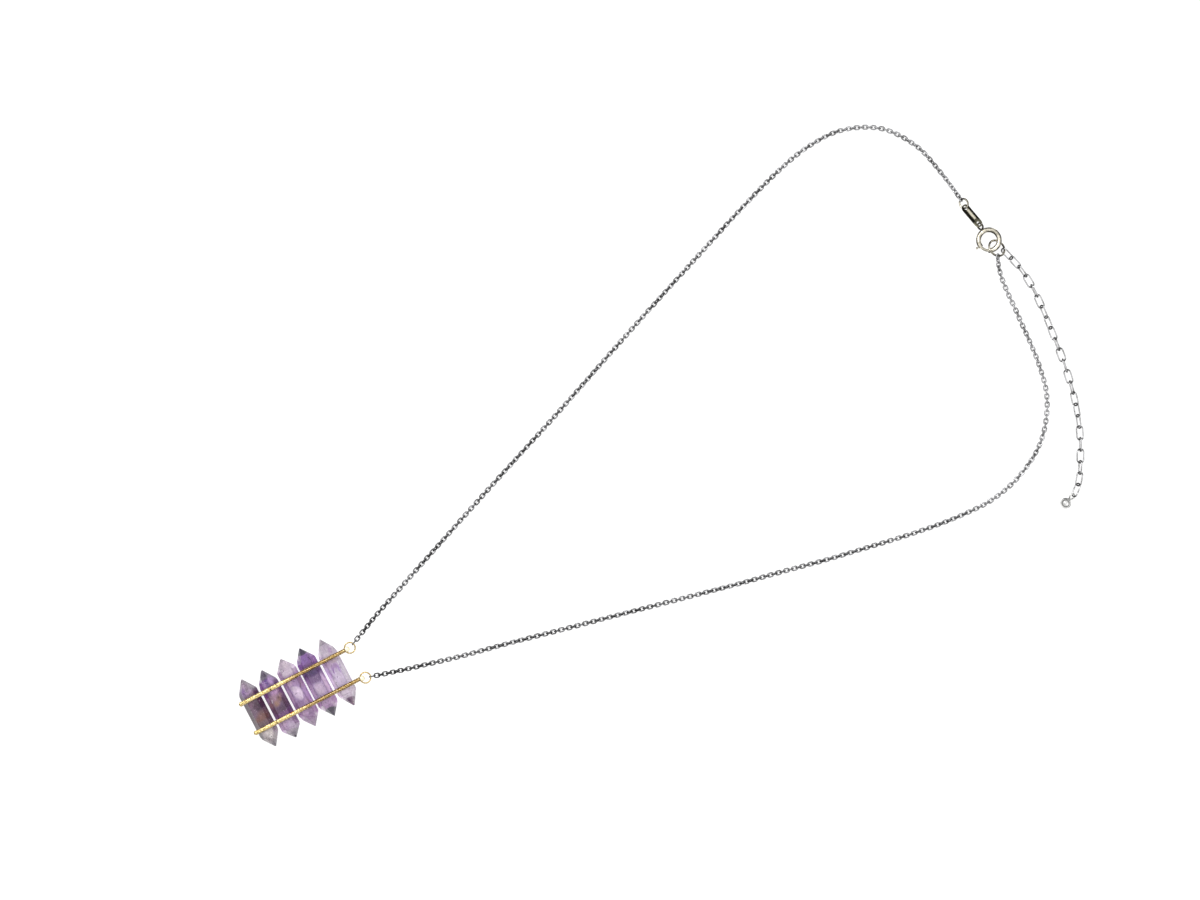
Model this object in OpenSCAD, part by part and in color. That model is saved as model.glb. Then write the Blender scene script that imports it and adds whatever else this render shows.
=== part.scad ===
// Ladder pendant of five double-pointed crystals under two gold bars, on a fine
// chain with a spring ring clasp and an extender, lying flat.
// The back of the middle crystal rests at the origin, the crystals point along X,
// the bars and the chain run along +Y, and +Z is up, away from the table.

/* [Crystals] */
// Length of a crystal from point to point
crystal_length = 16.3; // [12:0.1:24]
// Width of a crystal across its side edges
crystal_width = 4.36; // [3.4:0.02:4.6]
// Height of a crystal from back facet to front facet
crystal_height = 3.8; // [2.6:0.1:5]
// Width of the flat facet on the front and the back
crystal_front = 2.3; // [1.6:0.1:2.8]
// Distance from one crystal to the next
crystal_pitch = 4.8; // [4.7:0.05:6]
// Length of a pointed end
tip_length = 3; // [2:0.1:4]

/* [Bars] */
// Thickness of a bar
bar_thickness = 0.95; // [0.7:0.05:1.4]
// Distance between the two bars
bar_spacing = 7; // [5:0.1:9]
// How far a bar runs past the last crystal at its free end
bar_free_end = 0.25; // [0.2:0.05:3]
// How far a bar runs past the last crystal at its ringed end
bar_ring_end = 1.7; // [0.8:0.05:3]
// Width of the rounded knob on the free end
knob_width = 1.05; // [0.8:0.05:1.6]
// Outer width of the eye ring
eye_width = 2.65; // [2.2:0.05:3.4]
// Thickness of the eye ring's wire
eye_wire = 0.33; // [0.25:0.01:0.5]
// Width of the solder bead between bar and eye ring
solder_width = 0.8; // [0.5:0.05:1]

/* [Main chain] */
// Width of the fine chain
chain_width = 1.2; // [0.9:0.05:1.4]

/* [Extender] */
// Outer length of a link
link_length = 3.35; // [3:0.05:4.2]
// Outer width of a link
link_width = 1.8; // [1.7:0.05:2.2]
// Thickness of the link wire
link_wire = 0.35; // [0.25:0.01:0.4]
// Play between neighbouring links
link_play = 0.15; // [0.1:0.01:0.25]

/* [Tag] */
// Length of the tag plate
tag_length = 6; // [5:0.1:9]
// Width of the tag plate
tag_width = 2; // [1.7:0.1:2.8]
// Thickness of the tag plate
tag_thickness = 0.4; // [0.3:0.05:0.6]
// Width of the holes in the tag plate
tag_hole = 1; // [0.9:0.05:1.2]
// Outer width of the ring that holds the tag
tag_ring_width = 2.52; // [2.2:0.02:3]
// Thickness of that ring's wire
tag_ring_wire = 0.42; // [0.3:0.01:0.46]

/* [Clasp] */
// Outer width of the spring ring
clasp_width = 5.6; // [5.2:0.1:7]
// Thickness of the spring ring's tube
clasp_tube = 1.1; // [1:0.05:1.2]
// Wall of the tube
clasp_wall = 0.19; // [0.15:0.01:0.22]
// Clearance of the trigger wire in the tube
trigger_clearance = 0.06; // [0.03:0.01:0.09]
// How far the trigger slides back, in degrees
trigger_travel = 48; // [40:1:50]
// Width of the clasp's soldered eye
clasp_eye_width = 1.8; // [1.7:0.05:2.2]
// Thickness of that eye's wire
clasp_eye_wire = 0.4; // [0.3:0.01:0.45]
// Outer width of the joining ring
joining_width = 4.2; // [4:0.05:4.6]
// Thickness of the joining ring's wire
joining_wire = 0.45; // [0.35:0.01:0.5]

/* [End drop] */
// Length of the drop without its eye
drop_length = 2.6; // [2.2:0.1:5]
// Width of the drop
drop_width = 2.4; // [1.8:0.1:3]
// Outer width of the drop's eye
drop_eye_width = 1.7; // [1.5:0.05:1.8]
// Thickness of the drop's eye wire
drop_eye_wire = 0.35; // [0.25:0.01:0.4]

/* [Hidden] */
$fn = 48;

// The crystals' table, from the free end of the bars: place in pitches, length and
// offset as shares of crystal_length, width as a share of crystal_width, then the
// tips at -X and +X as shares of tip_length
PLACE = 0;
LENGTH = 1;
OFFSET = 2;
WIDTH = 3;
TIP_LOW = 4;
TIP_HIGH = 5;
CRYSTALS = [
    [-2.00, 0.995, -0.006, 0.99, 1.00, 1.05],
    [-1.00, 1.000,  0.014, 1.00, 1.05, 0.90],
    [ 0.00, 1.003,  0.000, 1.00, 0.95, 1.00],
    [ 0.98, 1.010, -0.009, 1.01, 1.05, 0.95],
    [ 1.98, 0.990, -0.002, 0.98, 1.10, 1.05]
];
tip_spread = 0.16; // how much the facets of one tip differ in length
tip_chisel = 0.1; // how far apart they meet the axis, as a share of tip_length

// The gaps left between pieces that touch on the real thing
table_gap = 0.01;
seat_gap = 0.02;
ring_gap = 0.15;
hook_gap = 0.25;

bar_z = crystal_height + seat_gap + bar_thickness / 2;
bar_start = (CRYSTALS[0][PLACE] * crystal_pitch) - crystal_width / 2 - bar_free_end;
bar_end = (CRYSTALS[4][PLACE] * crystal_pitch) + crystal_width / 2 + bar_ring_end;
eye_reach = (eye_width - eye_wire) / 2;
upper_eye_shift = 0.02; // how far each eye ring was soldered out of line with its bar
lower_eye_shift = 0.3;
upper_eye = [-bar_spacing / 2 + upper_eye_shift, bar_end + eye_reach, bar_z];
lower_eye = [bar_spacing / 2 + lower_eye_shift, bar_end + eye_reach, bar_z];

// The chain's strands from eye ring to clasp, chosen by hand: X, Y, and the height
// above the table as a share of the height of the eye rings
UPPER_ROUTE = [[-5.7, 19.6, 0.68], [-7.4, 23.5, 0.3], [-9.5, 29, 0.04], [-11.8, 35, 0],
    [-15.6, 45, 0], [-19.4, 55, 0], [-23.1, 65, 0], [-26.8, 75, 0], [-30.6, 85, 0],
    [-34.5, 95, 0], [-38.3, 105, 0], [-42, 115, 0], [-45.7, 125, 0], [-49.3, 135, 0],
    [-52.5, 145, 0], [-54.1, 153, 0], [-53.8, 161, 0], [-50.2, 168.6, 0], [-43.5, 173.5, 0],
    [-36, 175.6, 0]];
LOWER_ROUTE = [[5.3, 19.6, 0.68], [6.4, 23.5, 0.3], [7.8, 29, 0.04], [9.3, 35, 0],
    [11.5, 45, 0], [13.8, 55, 0], [16.1, 65, 0], [18.4, 75, 0], [20.7, 85, 0], [23, 95, 0],
    [25.1, 105, 0], [27.3, 115, 0], [29.2, 125, 0], [31, 135, 0], [32.2, 145, 0],
    [32.2, 153.5, 0], [30, 161.5, 0], [25.6, 168.4, 0], [18.5, 173.4, 0], [10.5, 175.4, 0],
    [0, 176.2, 0], [-7.5, 176.6, 0.02], [-11.4, 177.2, 0.12]];
chain_sides = 8;
chain_stretches = 4; // a strand's tube is in stretches, end to end
stretch_rings = 11;
stretch_break = 0.012; // left between two stretches, as a share of the way between route points

// The extender's route past its first link, chosen by hand: X, Y
EXTENDER_ROUTE = [[-9.1, 181.4], [-3.7, 181.8], [1.7, 181.5], [7.1, 181], [12.4, 180.4],
    [17.8, 179.5], [23, 178.2], [28.1, 176.4], [33, 174], [37.4, 171.3], [39.9, 168.2],
    [39, 165.4], [37.4, 163.4]];
link_roll = 45; // links lean to one side and the other in turn
roll_drift = 34; // how far the whole chain rolls over to a side, and back
roll_waves = 3; // half turns of that drift from the first link to the last
link_lift = 0.7; // least height of a link held up by its neighbours, as a share of its bend
link_pitch = link_length - 2 * link_wire - link_play;
link_bend = (link_width - link_wire) / 2;
link_z = link_bend * sin(link_roll) + link_wire / 2 + table_gap;

// The tag's ring and plate lean towards each other, so that the ring passes squarely
// through the hole, and both rest on the table
tag_lean = 35;
tag_direction = 12.9;
tag_ring_direction = -7;
tag_ring_bend = (tag_ring_width - tag_ring_wire) / 2;
tag_hole_edge = 0.3; // metal left between a hole and the plate's end
tag_hole_inset = tag_hole / 2 + tag_hole_edge;
tag_span = tag_length - 2 * tag_hole_inset;
tag_z = table_gap + max(tag_ring_bend * sin(tag_lean) + tag_ring_wire / 2,
    tag_width / 2 * sin(tag_lean) + tag_thickness / 2 * cos(tag_lean));

// The clasp lies with its eye low in the tag and its far side raised by the joining
// ring. Angles are seen from above, from +X
clasp_xy = [-18, 178.1];
clasp_lift = 4;
joining_direction = 17;
eye_direction = 184;
clasp_eye_lean = 45;
clasp_bend = (clasp_width - clasp_tube) / 2;
clasp_eye_bend = (clasp_eye_width - clasp_eye_wire) / 2;
clasp_eye_bite = 0.15;
clasp_eye_reach = clasp_width / 2 - clasp_eye_bite + clasp_eye_width / 2;
tag_reach = clasp_eye_reach + clasp_eye_bend;
clasp_z = tag_z - tag_reach * cos(eye_direction - joining_direction) * sin(clasp_lift);
tube_bore = clasp_tube - 2 * clasp_wall;
trigger_wire = tube_bore - 2 * trigger_clearance;
gap_start = 285;
gap_end = 330;
trigger_seat = 4; // degrees of wire inside the far end of the tube
trigger_tail = 262;
knob_angle = 277;
knob_neck = 0.26;
knob_head = 0.56;
slot_clearance = 0.05;
slot_margin = 4; // degrees past the knob at both ends of its travel

// A point on the clasp, at a radius and an angle
function clasp_point(r, a) = [
    clasp_xy.x + r * (cos(a - joining_direction) * cos(clasp_lift) * cos(joining_direction)
        - sin(a - joining_direction) * sin(joining_direction)),
    clasp_xy.y + r * (cos(a - joining_direction) * cos(clasp_lift) * sin(joining_direction)
        + sin(a - joining_direction) * cos(joining_direction)),
    clasp_z + r * cos(a - joining_direction) * sin(clasp_lift)];

near_hole = clasp_point(tag_reach, eye_direction);
far_hole = near_hole - tag_span * [cos(tag_direction), sin(tag_direction), 0];
tag_ring_centre = far_hole - tag_ring_bend * [cos(tag_ring_direction), sin(tag_ring_direction), 0];

joining_lean = 36;
joining_bend = (joining_width - joining_wire) / 2;
joining_inset = 0.2; // from the tube's centre line to the ring's centre
joining_centre = [
    clasp_point(clasp_bend + joining_inset, joining_direction).x,
    clasp_point(clasp_bend + joining_inset, joining_direction).y,
    joining_bend * sin(joining_lean) + joining_wire / 2 + table_gap];
extender_hook_angle = 30; // where the extender and the lower chain hang on it
chain_hook_angle = -45;

// A point on the joining ring's wire, at an angle round the ring
function joining_point(a) = joining_centre + joining_bend * [
    cos(a) * cos(joining_direction) - sin(a) * cos(joining_lean) * sin(joining_direction),
    cos(a) * sin(joining_direction) + sin(a) * cos(joining_lean) * cos(joining_direction),
    -sin(a) * sin(joining_lean)];
extender_hook = joining_point(extender_hook_angle);
chain_hook = joining_point(chain_hook_angle);

// A smooth curve through a list of points
function curve(p, t) = let (
    i = min(floor(t), len(p) - 2), f = t - i,
    a = p[max(i - 1, 0)], b = p[i], c = p[i + 1], d = p[min(i + 2, len(p) - 1)])
    0.5 * (2 * b + (c - a) * f + (2 * a - 5 * b + 4 * c - d) * f ^ 2 + (3 * b - a - 3 * c + d) * f ^ 3);

curve_step = 0.1;
function unit(v) = v / norm(v);
function direction(p, t) =
    unit(curve(p, min(t + curve_step, len(p) - 1)) - curve(p, max(t - curve_step, 0)));

// The point at a given distance outside a ring's wire, towards another point
function outside(centre, reach, towards) =
    centre + reach * unit([towards.x - centre.x, towards.y - centre.y, 0]);

function raise(route) = [for (p = route) [p.x, p.y,
    chain_width / 2 + p.z * (bar_z - chain_width / 2)]];

upper_path = concat(
    [outside(upper_eye, eye_width / 2 + ring_gap, UPPER_ROUTE[0])],
    raise(UPPER_ROUTE),
    [outside(tag_ring_centre, tag_ring_width / 2 + ring_gap, UPPER_ROUTE[len(UPPER_ROUTE) - 1])]);
lower_path = concat(
    [outside(lower_eye, eye_width / 2 + ring_gap, LOWER_ROUTE[0])],
    raise(LOWER_ROUTE),
    [outside(chain_hook, joining_wire / 2 + 2 * ring_gap, LOWER_ROUTE[len(LOWER_ROUTE) - 1])
        - [0, 0, ring_gap]]);

// The extender's curve, its running length, and its links' places along it
extender_path = concat([[extender_hook.x, extender_hook.y, link_z]],
    [for (p = EXTENDER_ROUTE) [p.x, p.y, link_z]]);
extender_steps = [for (t = [0 : curve_step : len(extender_path) - 1]) curve(extender_path, t)];
function running(p, i = 0, s = 0) = i == len(p) - 1 ? [s]
    : concat([s], running(p, i + 1, s + norm(p[i + 1] - p[i])));
extender_lengths = running(extender_steps);
function along(s) = [for (k = [0 : 2])
    lookup(s, [for (i = [0 : len(extender_steps) - 1]) [extender_lengths[i], extender_steps[i][k]]])];
function heading(s) = let (d = along(s + link_length / 4) - along(s - link_length / 4)) atan2(d.y, d.x);
first_link = link_length / 2 - link_wire - joining_wire / 2 - hook_gap;
last_reach = link_length / 2 - link_wire - drop_eye_wire / 2 - link_play;
extender_end = extender_lengths[len(extender_lengths) - 1] - drop_length - drop_eye_width;
link_count = floor((extender_end - first_link - last_reach) / link_pitch) + 1;
last_link = first_link + (link_count - 1) * link_pitch;
function roll_at(i) = link_roll * (i % 2 == 0 ? 1 : -1)
    + roll_drift * sin(180 * roll_waves * i / (link_count - 1));

drop_eye_bend = (drop_eye_width - drop_eye_wire) / 2;
drop_place = along(last_link) + last_reach * [cos(heading(last_link)), sin(heading(last_link)), 0];
drop_eye_bite = 0.15; // how far the drop's top sinks into its eye
drop_neck = 0.6; // width of the drop's top
drop_turn = -24; // how far the drop lies turned off the line of the last link
drop_waist = 0.9; // the cone's width where it meets the ball, as a share of the drop's

module round_wire(bend, wire) {
    rotate_extrude() translate([bend, 0]) circle(d = wire);
}

module crystal(row) {
    long = row[LENGTH] * crystal_length;
    half_w = row[WIDTH] * crystal_width / 2;
    half_h = crystal_height / 2;
    half_f = crystal_front / 2;
    side = atan2(half_h, half_w - half_f);
    turns = [0, side, 180 - side, 180, 180 + side, 360 - side];
    flank = half_w * sin(side);
    reaches = [half_h, flank, flank, half_h, flank, flank];
    translate([row[OFFSET] * crystal_length, row[PLACE] * crystal_pitch, half_h])
    difference() {
        rotate([90, 0, 90]) linear_extrude(long, center = true) polygon([
            [half_w, 0], [half_f, half_h], [-half_f, half_h],
            [-half_w, 0], [-half_f, -half_h], [half_f, -half_h]]);
        for (end = [0, 1], k = [0 : 5]) {
            share = row[end == 0 ? TIP_LOW : TIP_HIGH];
            spread = 1 + tip_spread * sin(137 * k + 71 * row[PLACE] + 90 * end);
            tip = tip_length * share * spread;
            past = tip_length * tip_chisel * (1 + sin(101 * k + 53 * row[PLACE] + 120 * end)) / 2;
            mirror([1 - end, 0, 0]) rotate([-turns[k], 0, 0]) translate([long / 2 + past, 0, 0])
                rotate([0, atan2(reaches[k], tip), 0])
                translate([-2 * tip_length, -crystal_width, 0])
                cube([3 * tip_length, 2 * crystal_width, crystal_width]);
        }
    }
}

module crystal_1() { color("#7d6470") crystal(CRYSTALS[0]); }
module crystal_2() { color("#8a6a8c") crystal(CRYSTALS[1]); }
module crystal_3() { color("#b79cc6") crystal(CRYSTALS[2]); }
module crystal_4() { color("#8a62b0") crystal(CRYSTALS[3]); }
module crystal_5() { color("#cbbfd8") crystal(CRYSTALS[4]); }

module bar(x, eye) {
    color("#cfa84e") {
        translate([x, bar_start, bar_z]) rotate([-90, 0, 0])
            cylinder(h = bar_end - bar_start, d = bar_thickness);
        translate([x, bar_start, bar_z]) sphere(d = knob_width);
        translate([x + (eye.x - x) / 3, bar_end - solder_width / 8, bar_z]) sphere(d = solder_width);
        translate(eye) round_wire(eye_reach, eye_wire);
    }
}

module upper_bar() { bar(-bar_spacing / 2, upper_eye); }
module lower_bar() { bar(bar_spacing / 2, lower_eye); }

// A stretch of tube of the fine chain's outer width, along a part of a path
module stretch(path, from, to) {
    last = stretch_rings - 1;
    points = [for (i = [0 : last])
        let (t = from + (to - from) * i / last, ahead = direction(path, t),
            across = unit(cross(ahead, [0, 0, 1])), up = cross(across, ahead))
        for (k = [0 : chain_sides - 1])
            let (a = (k + 0.5) * 360 / chain_sides)
            curve(path, t) + chain_width / 2 * (cos(a) * across + sin(a) * up)];
    walls = [for (i = [0 : last - 1], k = [0 : chain_sides - 1])
        let (n = (k + 1) % chain_sides)
        [i * chain_sides + k, i * chain_sides + n,
            (i + 1) * chain_sides + n, (i + 1) * chain_sides + k]];
    near = [for (k = [chain_sides - 1 : -1 : 0]) k];
    far = [for (k = [0 : chain_sides - 1]) last * chain_sides + k];
    polyhedron(points, concat(walls, [near, far]));
}

// A strand of the fine chain
module strand(path) {
    span = (len(path) - 1) / chain_stretches;
    for (i = [0 : chain_stretches - 1])
        stretch(path, i * span + (i > 0 ? stretch_break : 0), (i + 1) * span);
}

module upper_chain() { color("#8b8b8d") strand(upper_path); }
module lower_chain() { color("#8b8b8d") strand(lower_path); }

module tag_ring() {
    color("#c9c6bd") translate(tag_ring_centre) rotate([0, 0, tag_ring_direction])
        rotate([tag_lean, 0, 0]) round_wire(tag_ring_bend, tag_ring_wire);
}

module tag_plate() {
    color("#b9b5a8") translate((near_hole + far_hole) / 2)
    rotate([0, 0, tag_direction]) rotate([-tag_lean, 0, 0]) difference() {
        union() {
            cube([tag_length - tag_width, tag_width, tag_thickness], center = true);
            for (s = [-1, 1]) translate([s * (tag_length - tag_width) / 2, 0, 0])
                cylinder(h = tag_thickness, d = tag_width, center = true);
        }
        for (s = [-1, 1]) translate([s * tag_span / 2, 0, 0])
            cylinder(h = 2 * tag_thickness, d = tag_hole, center = true);
    }
}

// Sets its children in the clasp's own plane, raised on the joining ring's side
module on_clasp() {
    translate([clasp_xy.x, clasp_xy.y, clasp_z]) rotate([0, 0, joining_direction])
        rotate([0, -clasp_lift, 0]) rotate([0, 0, -joining_direction]) children();
}

module clasp_ring() {
    slot_start = knob_angle - trigger_travel - slot_margin;
    slot_turn = trigger_travel + 2 * slot_margin;
    tube_turn = 360 - gap_end + gap_start;
    color("#c4c2ba") on_clasp() difference() {
        union() {
            rotate([0, 0, gap_end]) rotate_extrude(angle = tube_turn)
                translate([clasp_bend, 0]) circle(d = clasp_tube);
            rotate([0, 0, eye_direction]) translate([clasp_eye_reach, 0, 0])
                rotate([-clasp_eye_lean, 0, 0]) round_wire(clasp_eye_bend, clasp_eye_wire);
        }
        rotate([0, 0, gap_end - 1]) rotate_extrude(angle = tube_turn + 2)
            translate([clasp_bend, 0]) circle(d = tube_bore);
        rotate([0, 0, slot_start]) rotate_extrude(angle = slot_turn)
            translate([clasp_bend, -knob_neck / 2 - slot_clearance])
            square([clasp_tube, knob_neck + 2 * slot_clearance]);
    }
}

module clasp_trigger() {
    head_reach = clasp_width / 2 + slot_clearance + knob_head / 2;
    color("#d6d4cc") on_clasp() {
        rotate([0, 0, trigger_tail]) rotate_extrude(angle = gap_end + trigger_seat - trigger_tail)
            translate([clasp_bend, 0]) circle(d = trigger_wire);
        rotate([0, 0, knob_angle]) translate([clasp_bend, 0, 0]) rotate([0, 90, 0])
            cylinder(h = head_reach - clasp_bend, d = knob_neck);
        rotate([0, 0, knob_angle]) translate([head_reach, 0, 0]) sphere(d = knob_head);
    }
}

module joining_ring() {
    color("#d2ccba") translate(joining_centre) rotate([0, 0, joining_direction])
        rotate([-joining_lean, 0, 0]) round_wire(joining_bend, joining_wire);
}

module oval_link() {
    straight = link_length - link_width;
    for (s = [-1, 1]) {
        translate([s * straight / 2, 0, 0]) rotate([0, 0, -s * 90]) rotate_extrude(angle = 180)
            translate([link_bend, 0]) circle(d = link_wire);
        translate([-straight / 2, s * link_bend, 0]) rotate([0, 90, 0])
            cylinder(h = straight, d = link_wire);
    }
}

module extender_chain() {
    color("#b4b4b6") for (i = [0 : link_count - 1]) {
        s = first_link + i * link_pitch;
        lift = link_bend * max(abs(sin(roll_at(i))), link_lift) + link_wire / 2 + table_gap;
        translate([along(s).x, along(s).y, lift]) rotate([0, 0, heading(s)]) rotate([roll_at(i), 0, 0])
            oval_link();
    }
}

// A pear-shaped drop lying on its side, with its eye leaning against the last link
module end_drop() {
    lean = roll_at(link_count - 1) > 0 ? -link_roll : link_roll;
    belly = drop_width / 2;
    shoulder = drop_length - belly;
    eye_end = drop_eye_bend + drop_eye_width / 2 - drop_eye_bite;
    translate(drop_place) rotate([0, 0, heading(last_link) + drop_turn]) color("#dcdad2") {
        translate([eye_end, 0, belly + table_gap - link_z]) rotate([90, 0, 90]) rotate_extrude()
            intersection() {
                union() {
                    translate([0, shoulder]) circle(r = belly);
                    polygon([[0, 0], [drop_neck / 2, 0],
                        [drop_waist * belly, shoulder], [0, shoulder]]);
                }
                square([drop_width, 2 * drop_length]);
            }
        translate([drop_eye_bend, 0, 0]) rotate([lean, 0, 0]) round_wire(drop_eye_bend, drop_eye_wire);
    }
}

crystal_1();
crystal_2();
crystal_3();
crystal_4();
crystal_5();
upper_bar();
lower_bar();
upper_chain();
lower_chain();
tag_ring();
tag_plate();
clasp_ring();
clasp_trigger();
joining_ring();
extender_chain();
end_drop();
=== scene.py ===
# A ladder pendant of five amethyst points on a fine silver chain, lying on a pale table
import bmesh
import bpy
import random
from math import atan2, ceil, cos, pi, radians, sin
from mathutils import Matrix, Vector


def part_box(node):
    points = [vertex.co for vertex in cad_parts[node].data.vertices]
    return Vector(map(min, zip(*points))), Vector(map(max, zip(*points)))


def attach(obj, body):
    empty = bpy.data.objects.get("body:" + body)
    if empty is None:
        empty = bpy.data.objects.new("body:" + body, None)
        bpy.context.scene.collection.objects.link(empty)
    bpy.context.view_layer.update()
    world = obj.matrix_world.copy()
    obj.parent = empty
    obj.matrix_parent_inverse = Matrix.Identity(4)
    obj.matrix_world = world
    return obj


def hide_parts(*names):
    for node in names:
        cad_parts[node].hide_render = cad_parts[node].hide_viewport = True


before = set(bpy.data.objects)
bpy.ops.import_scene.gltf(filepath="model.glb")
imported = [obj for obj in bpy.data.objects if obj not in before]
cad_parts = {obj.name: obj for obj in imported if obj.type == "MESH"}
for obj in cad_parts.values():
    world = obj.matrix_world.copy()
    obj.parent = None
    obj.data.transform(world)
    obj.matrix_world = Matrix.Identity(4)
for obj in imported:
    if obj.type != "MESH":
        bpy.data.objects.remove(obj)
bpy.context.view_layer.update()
mm = 0.001
print("frame loaded:", len(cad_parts), "nodes")


# Small helpers

def colour(code, gains=(1, 1, 1)):
    # "#rrggbb" as seen on a screen, each part times its gain, to Blender's linear values
    shares = [min(1.0, gain * int(code[i:i + 2], 16) / 255) for i, gain in zip((1, 3, 5), gains)]
    return [s / 12.92 if s <= 0.04045 else ((s + 0.055) / 1.055) ** 2.4 for s in shares] + [1.0]


def addNode(tree, kind, inputs=None, **settings):
    node = tree.nodes.new("ShaderNode" + kind)
    for name, value in settings.items():
        setattr(node, name, value)
    for name, value in (inputs or {}).items():
        if isinstance(value, bpy.types.NodeSocket):
            tree.links.new(value, node.inputs[name])
        else:
            node.inputs[name].default_value = value
    return node


def useGroup(tree, group, inputs):
    return addNode(tree, "Group", inputs, node_tree=group)


def addMaths(tree, operation, *values, **settings):
    return addNode(tree, "Math", dict(enumerate(values)), operation=operation, **settings).outputs[0]


def addVectors(tree, operation, *values, result="Vector"):
    return addNode(tree, "VectorMath", dict(enumerate(values)), operation=operation).outputs[result]


def addScaled(tree, vector, share):
    return addNode(tree, "VectorMath", {0: vector, "Scale": share}, operation="SCALE").outputs["Vector"]


def addRamp(tree, value, source, target=(0.0, 1.0), smooth=False):
    # From one pair of values to another, held at both ends
    return addNode(tree, "MapRange", {
        "Value": value, "From Min": source[0], "From Max": source[1], "To Min": target[0],
        "To Max": target[1]}, interpolation_type="SMOOTHSTEP" if smooth else "LINEAR").outputs["Result"]


def addBlend(tree, share, first, second, way="MIX"):
    return addNode(tree, "Mix", {"Factor": share, "A": first, "B": second}, data_type="RGBA",
                   blend_type=way).outputs["Result"]


def addNoise(tree, where, scale, detail, roughness=0.5, seed=None, distortion=0.0):
    inputs = {"Vector": where, "Scale": scale, "Detail": detail, "Roughness": roughness,
              "Distortion": distortion}
    if seed is None:
        return addNode(tree, "TexNoise", inputs).outputs["Fac"]
    return addNode(tree, "TexNoise", dict(inputs, W=seed), noise_dimensions="4D").outputs["Fac"]


def addRelief(tree, shader, height, strength, depth):
    relief = addNode(tree, "Bump", {"Height": height, "Strength": strength, "Distance": depth * mm})
    tree.links.new(relief.outputs["Normal"], shader.inputs["Normal"])


def inMillimetres(tree, move=(0, 0, 0)):
    # Positions on the piece, in millimetres
    place = addNode(tree, "TexCoord")
    return addNode(tree, "Mapping", {"Vector": place.outputs["Object"], "Location": move,
                                     "Scale": (1 / mm, 1 / mm, 1 / mm)}).outputs["Vector"]


def markedBy(tree, name):
    return addNode(tree, "Attribute", attribute_name=name).outputs["Fac"]


def newGroup(name, inputs, outputs):
    group = bpy.data.node_groups.new(name, "ShaderNodeTree")
    for label, kind in inputs.items():
        group.interface.new_socket(label, in_out="INPUT", socket_type="NodeSocket" + kind)
    for label, kind in outputs.items():
        group.interface.new_socket(label, in_out="OUTPUT", socket_type="NodeSocket" + kind)
    return group, group.nodes.new("NodeGroupInput").outputs, group.nodes.new("NodeGroupOutput").inputs


def newMaterial(name, constants):
    material = bpy.data.materials.new(name)
    material.use_nodes = True
    tree = material.node_tree
    tree.nodes.clear()
    shader = addNode(tree, "BsdfPrincipled", constants)
    out = addNode(tree, "OutputMaterial")
    tree.links.new(shader.outputs["BSDF"], out.inputs["Surface"])
    return material, tree, shader


def finishPiece(bm, name, material, slot, body="necklace", replaced=(), smooth=True):
    # A bmesh becomes a piece that rides on a body and takes the place of CAD nodes
    bmesh.ops.remove_doubles(bm, verts=bm.verts, dist=0.0005 * mm)
    bmesh.ops.recalc_face_normals(bm, faces=bm.faces)
    mesh = bpy.data.meshes.new(name)
    bm.to_mesh(mesh)
    bm.free()
    mesh.polygons.foreach_set("use_smooth", [smooth] * len(mesh.polygons))
    mesh.materials.append(material)
    piece = bpy.data.objects.new(name, mesh)
    bpy.context.scene.collection.objects.link(piece)
    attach(piece, body)
    if replaced:
        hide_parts(*replaced)
    print(name, "made:", len(mesh.polygons), "faces")


# Camera, straight above the necklace and turned as the photo shows it

camera = {
    "turn": 62.54,              # degrees, from +X to the picture's right
    "centre": (-16.5, 82.3),    # row millimetres in the middle of the picture
    "pictureWidth": 260.4,      # millimetres across the picture
    "lens": 200,
    "sensor": 36,
}

cameraData = bpy.data.cameras.new("camera")
cameraData.lens = camera["lens"]
cameraData.sensor_width = camera["sensor"]
cameraObject = bpy.data.objects.new("camera", cameraData)
bpy.context.scene.collection.objects.link(cameraObject)
cameraHeight = camera["pictureWidth"] * mm * camera["lens"] / camera["sensor"]
cameraObject.location = (camera["centre"][0] * mm, camera["centre"][1] * mm, cameraHeight)
cameraObject.rotation_euler = (0, 0, radians(camera["turn"]))
bpy.context.scene.camera = cameraObject
pictureRight = Vector((cos(radians(camera["turn"])), sin(radians(camera["turn"])), 0))
pictureUp = Vector((-pictureRight.y, pictureRight.x, 0))
print("camera at", round(cameraHeight, 3), "m")


# Studio: a pale table that glows as well, a bright ceiling, and darker walls for the metal to
# mirror

studio = {
    "tableColours": ("#929292", "#989898"),
    "tableGlow": 0.86,
    "tableSize": 4.0,           # metres
    "tableDrop": 0.05,          # millimetres below the necklace
    "ceiling": 1.12,            # brightness straight above
    "walls": 0.15,              # brightness at the height of the table
    "wallTop": 0.2,             # height shares between which the walls turn into the ceiling
    "ceilingEdge": 0.72,
    "backdrop": 0.95,           # brightness that the camera sees past the table
    "keyPower": 7.0,
    "keySize": 0.5,
    "keyPlace": (-0.45, 0.5, 1.25),     # metres to the picture's right, up, and above it
    "fillPower": 2.0,
    "fillSize": 1.2,
    "fillPlace": (0.9, -0.5, 0.9),
}


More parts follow.
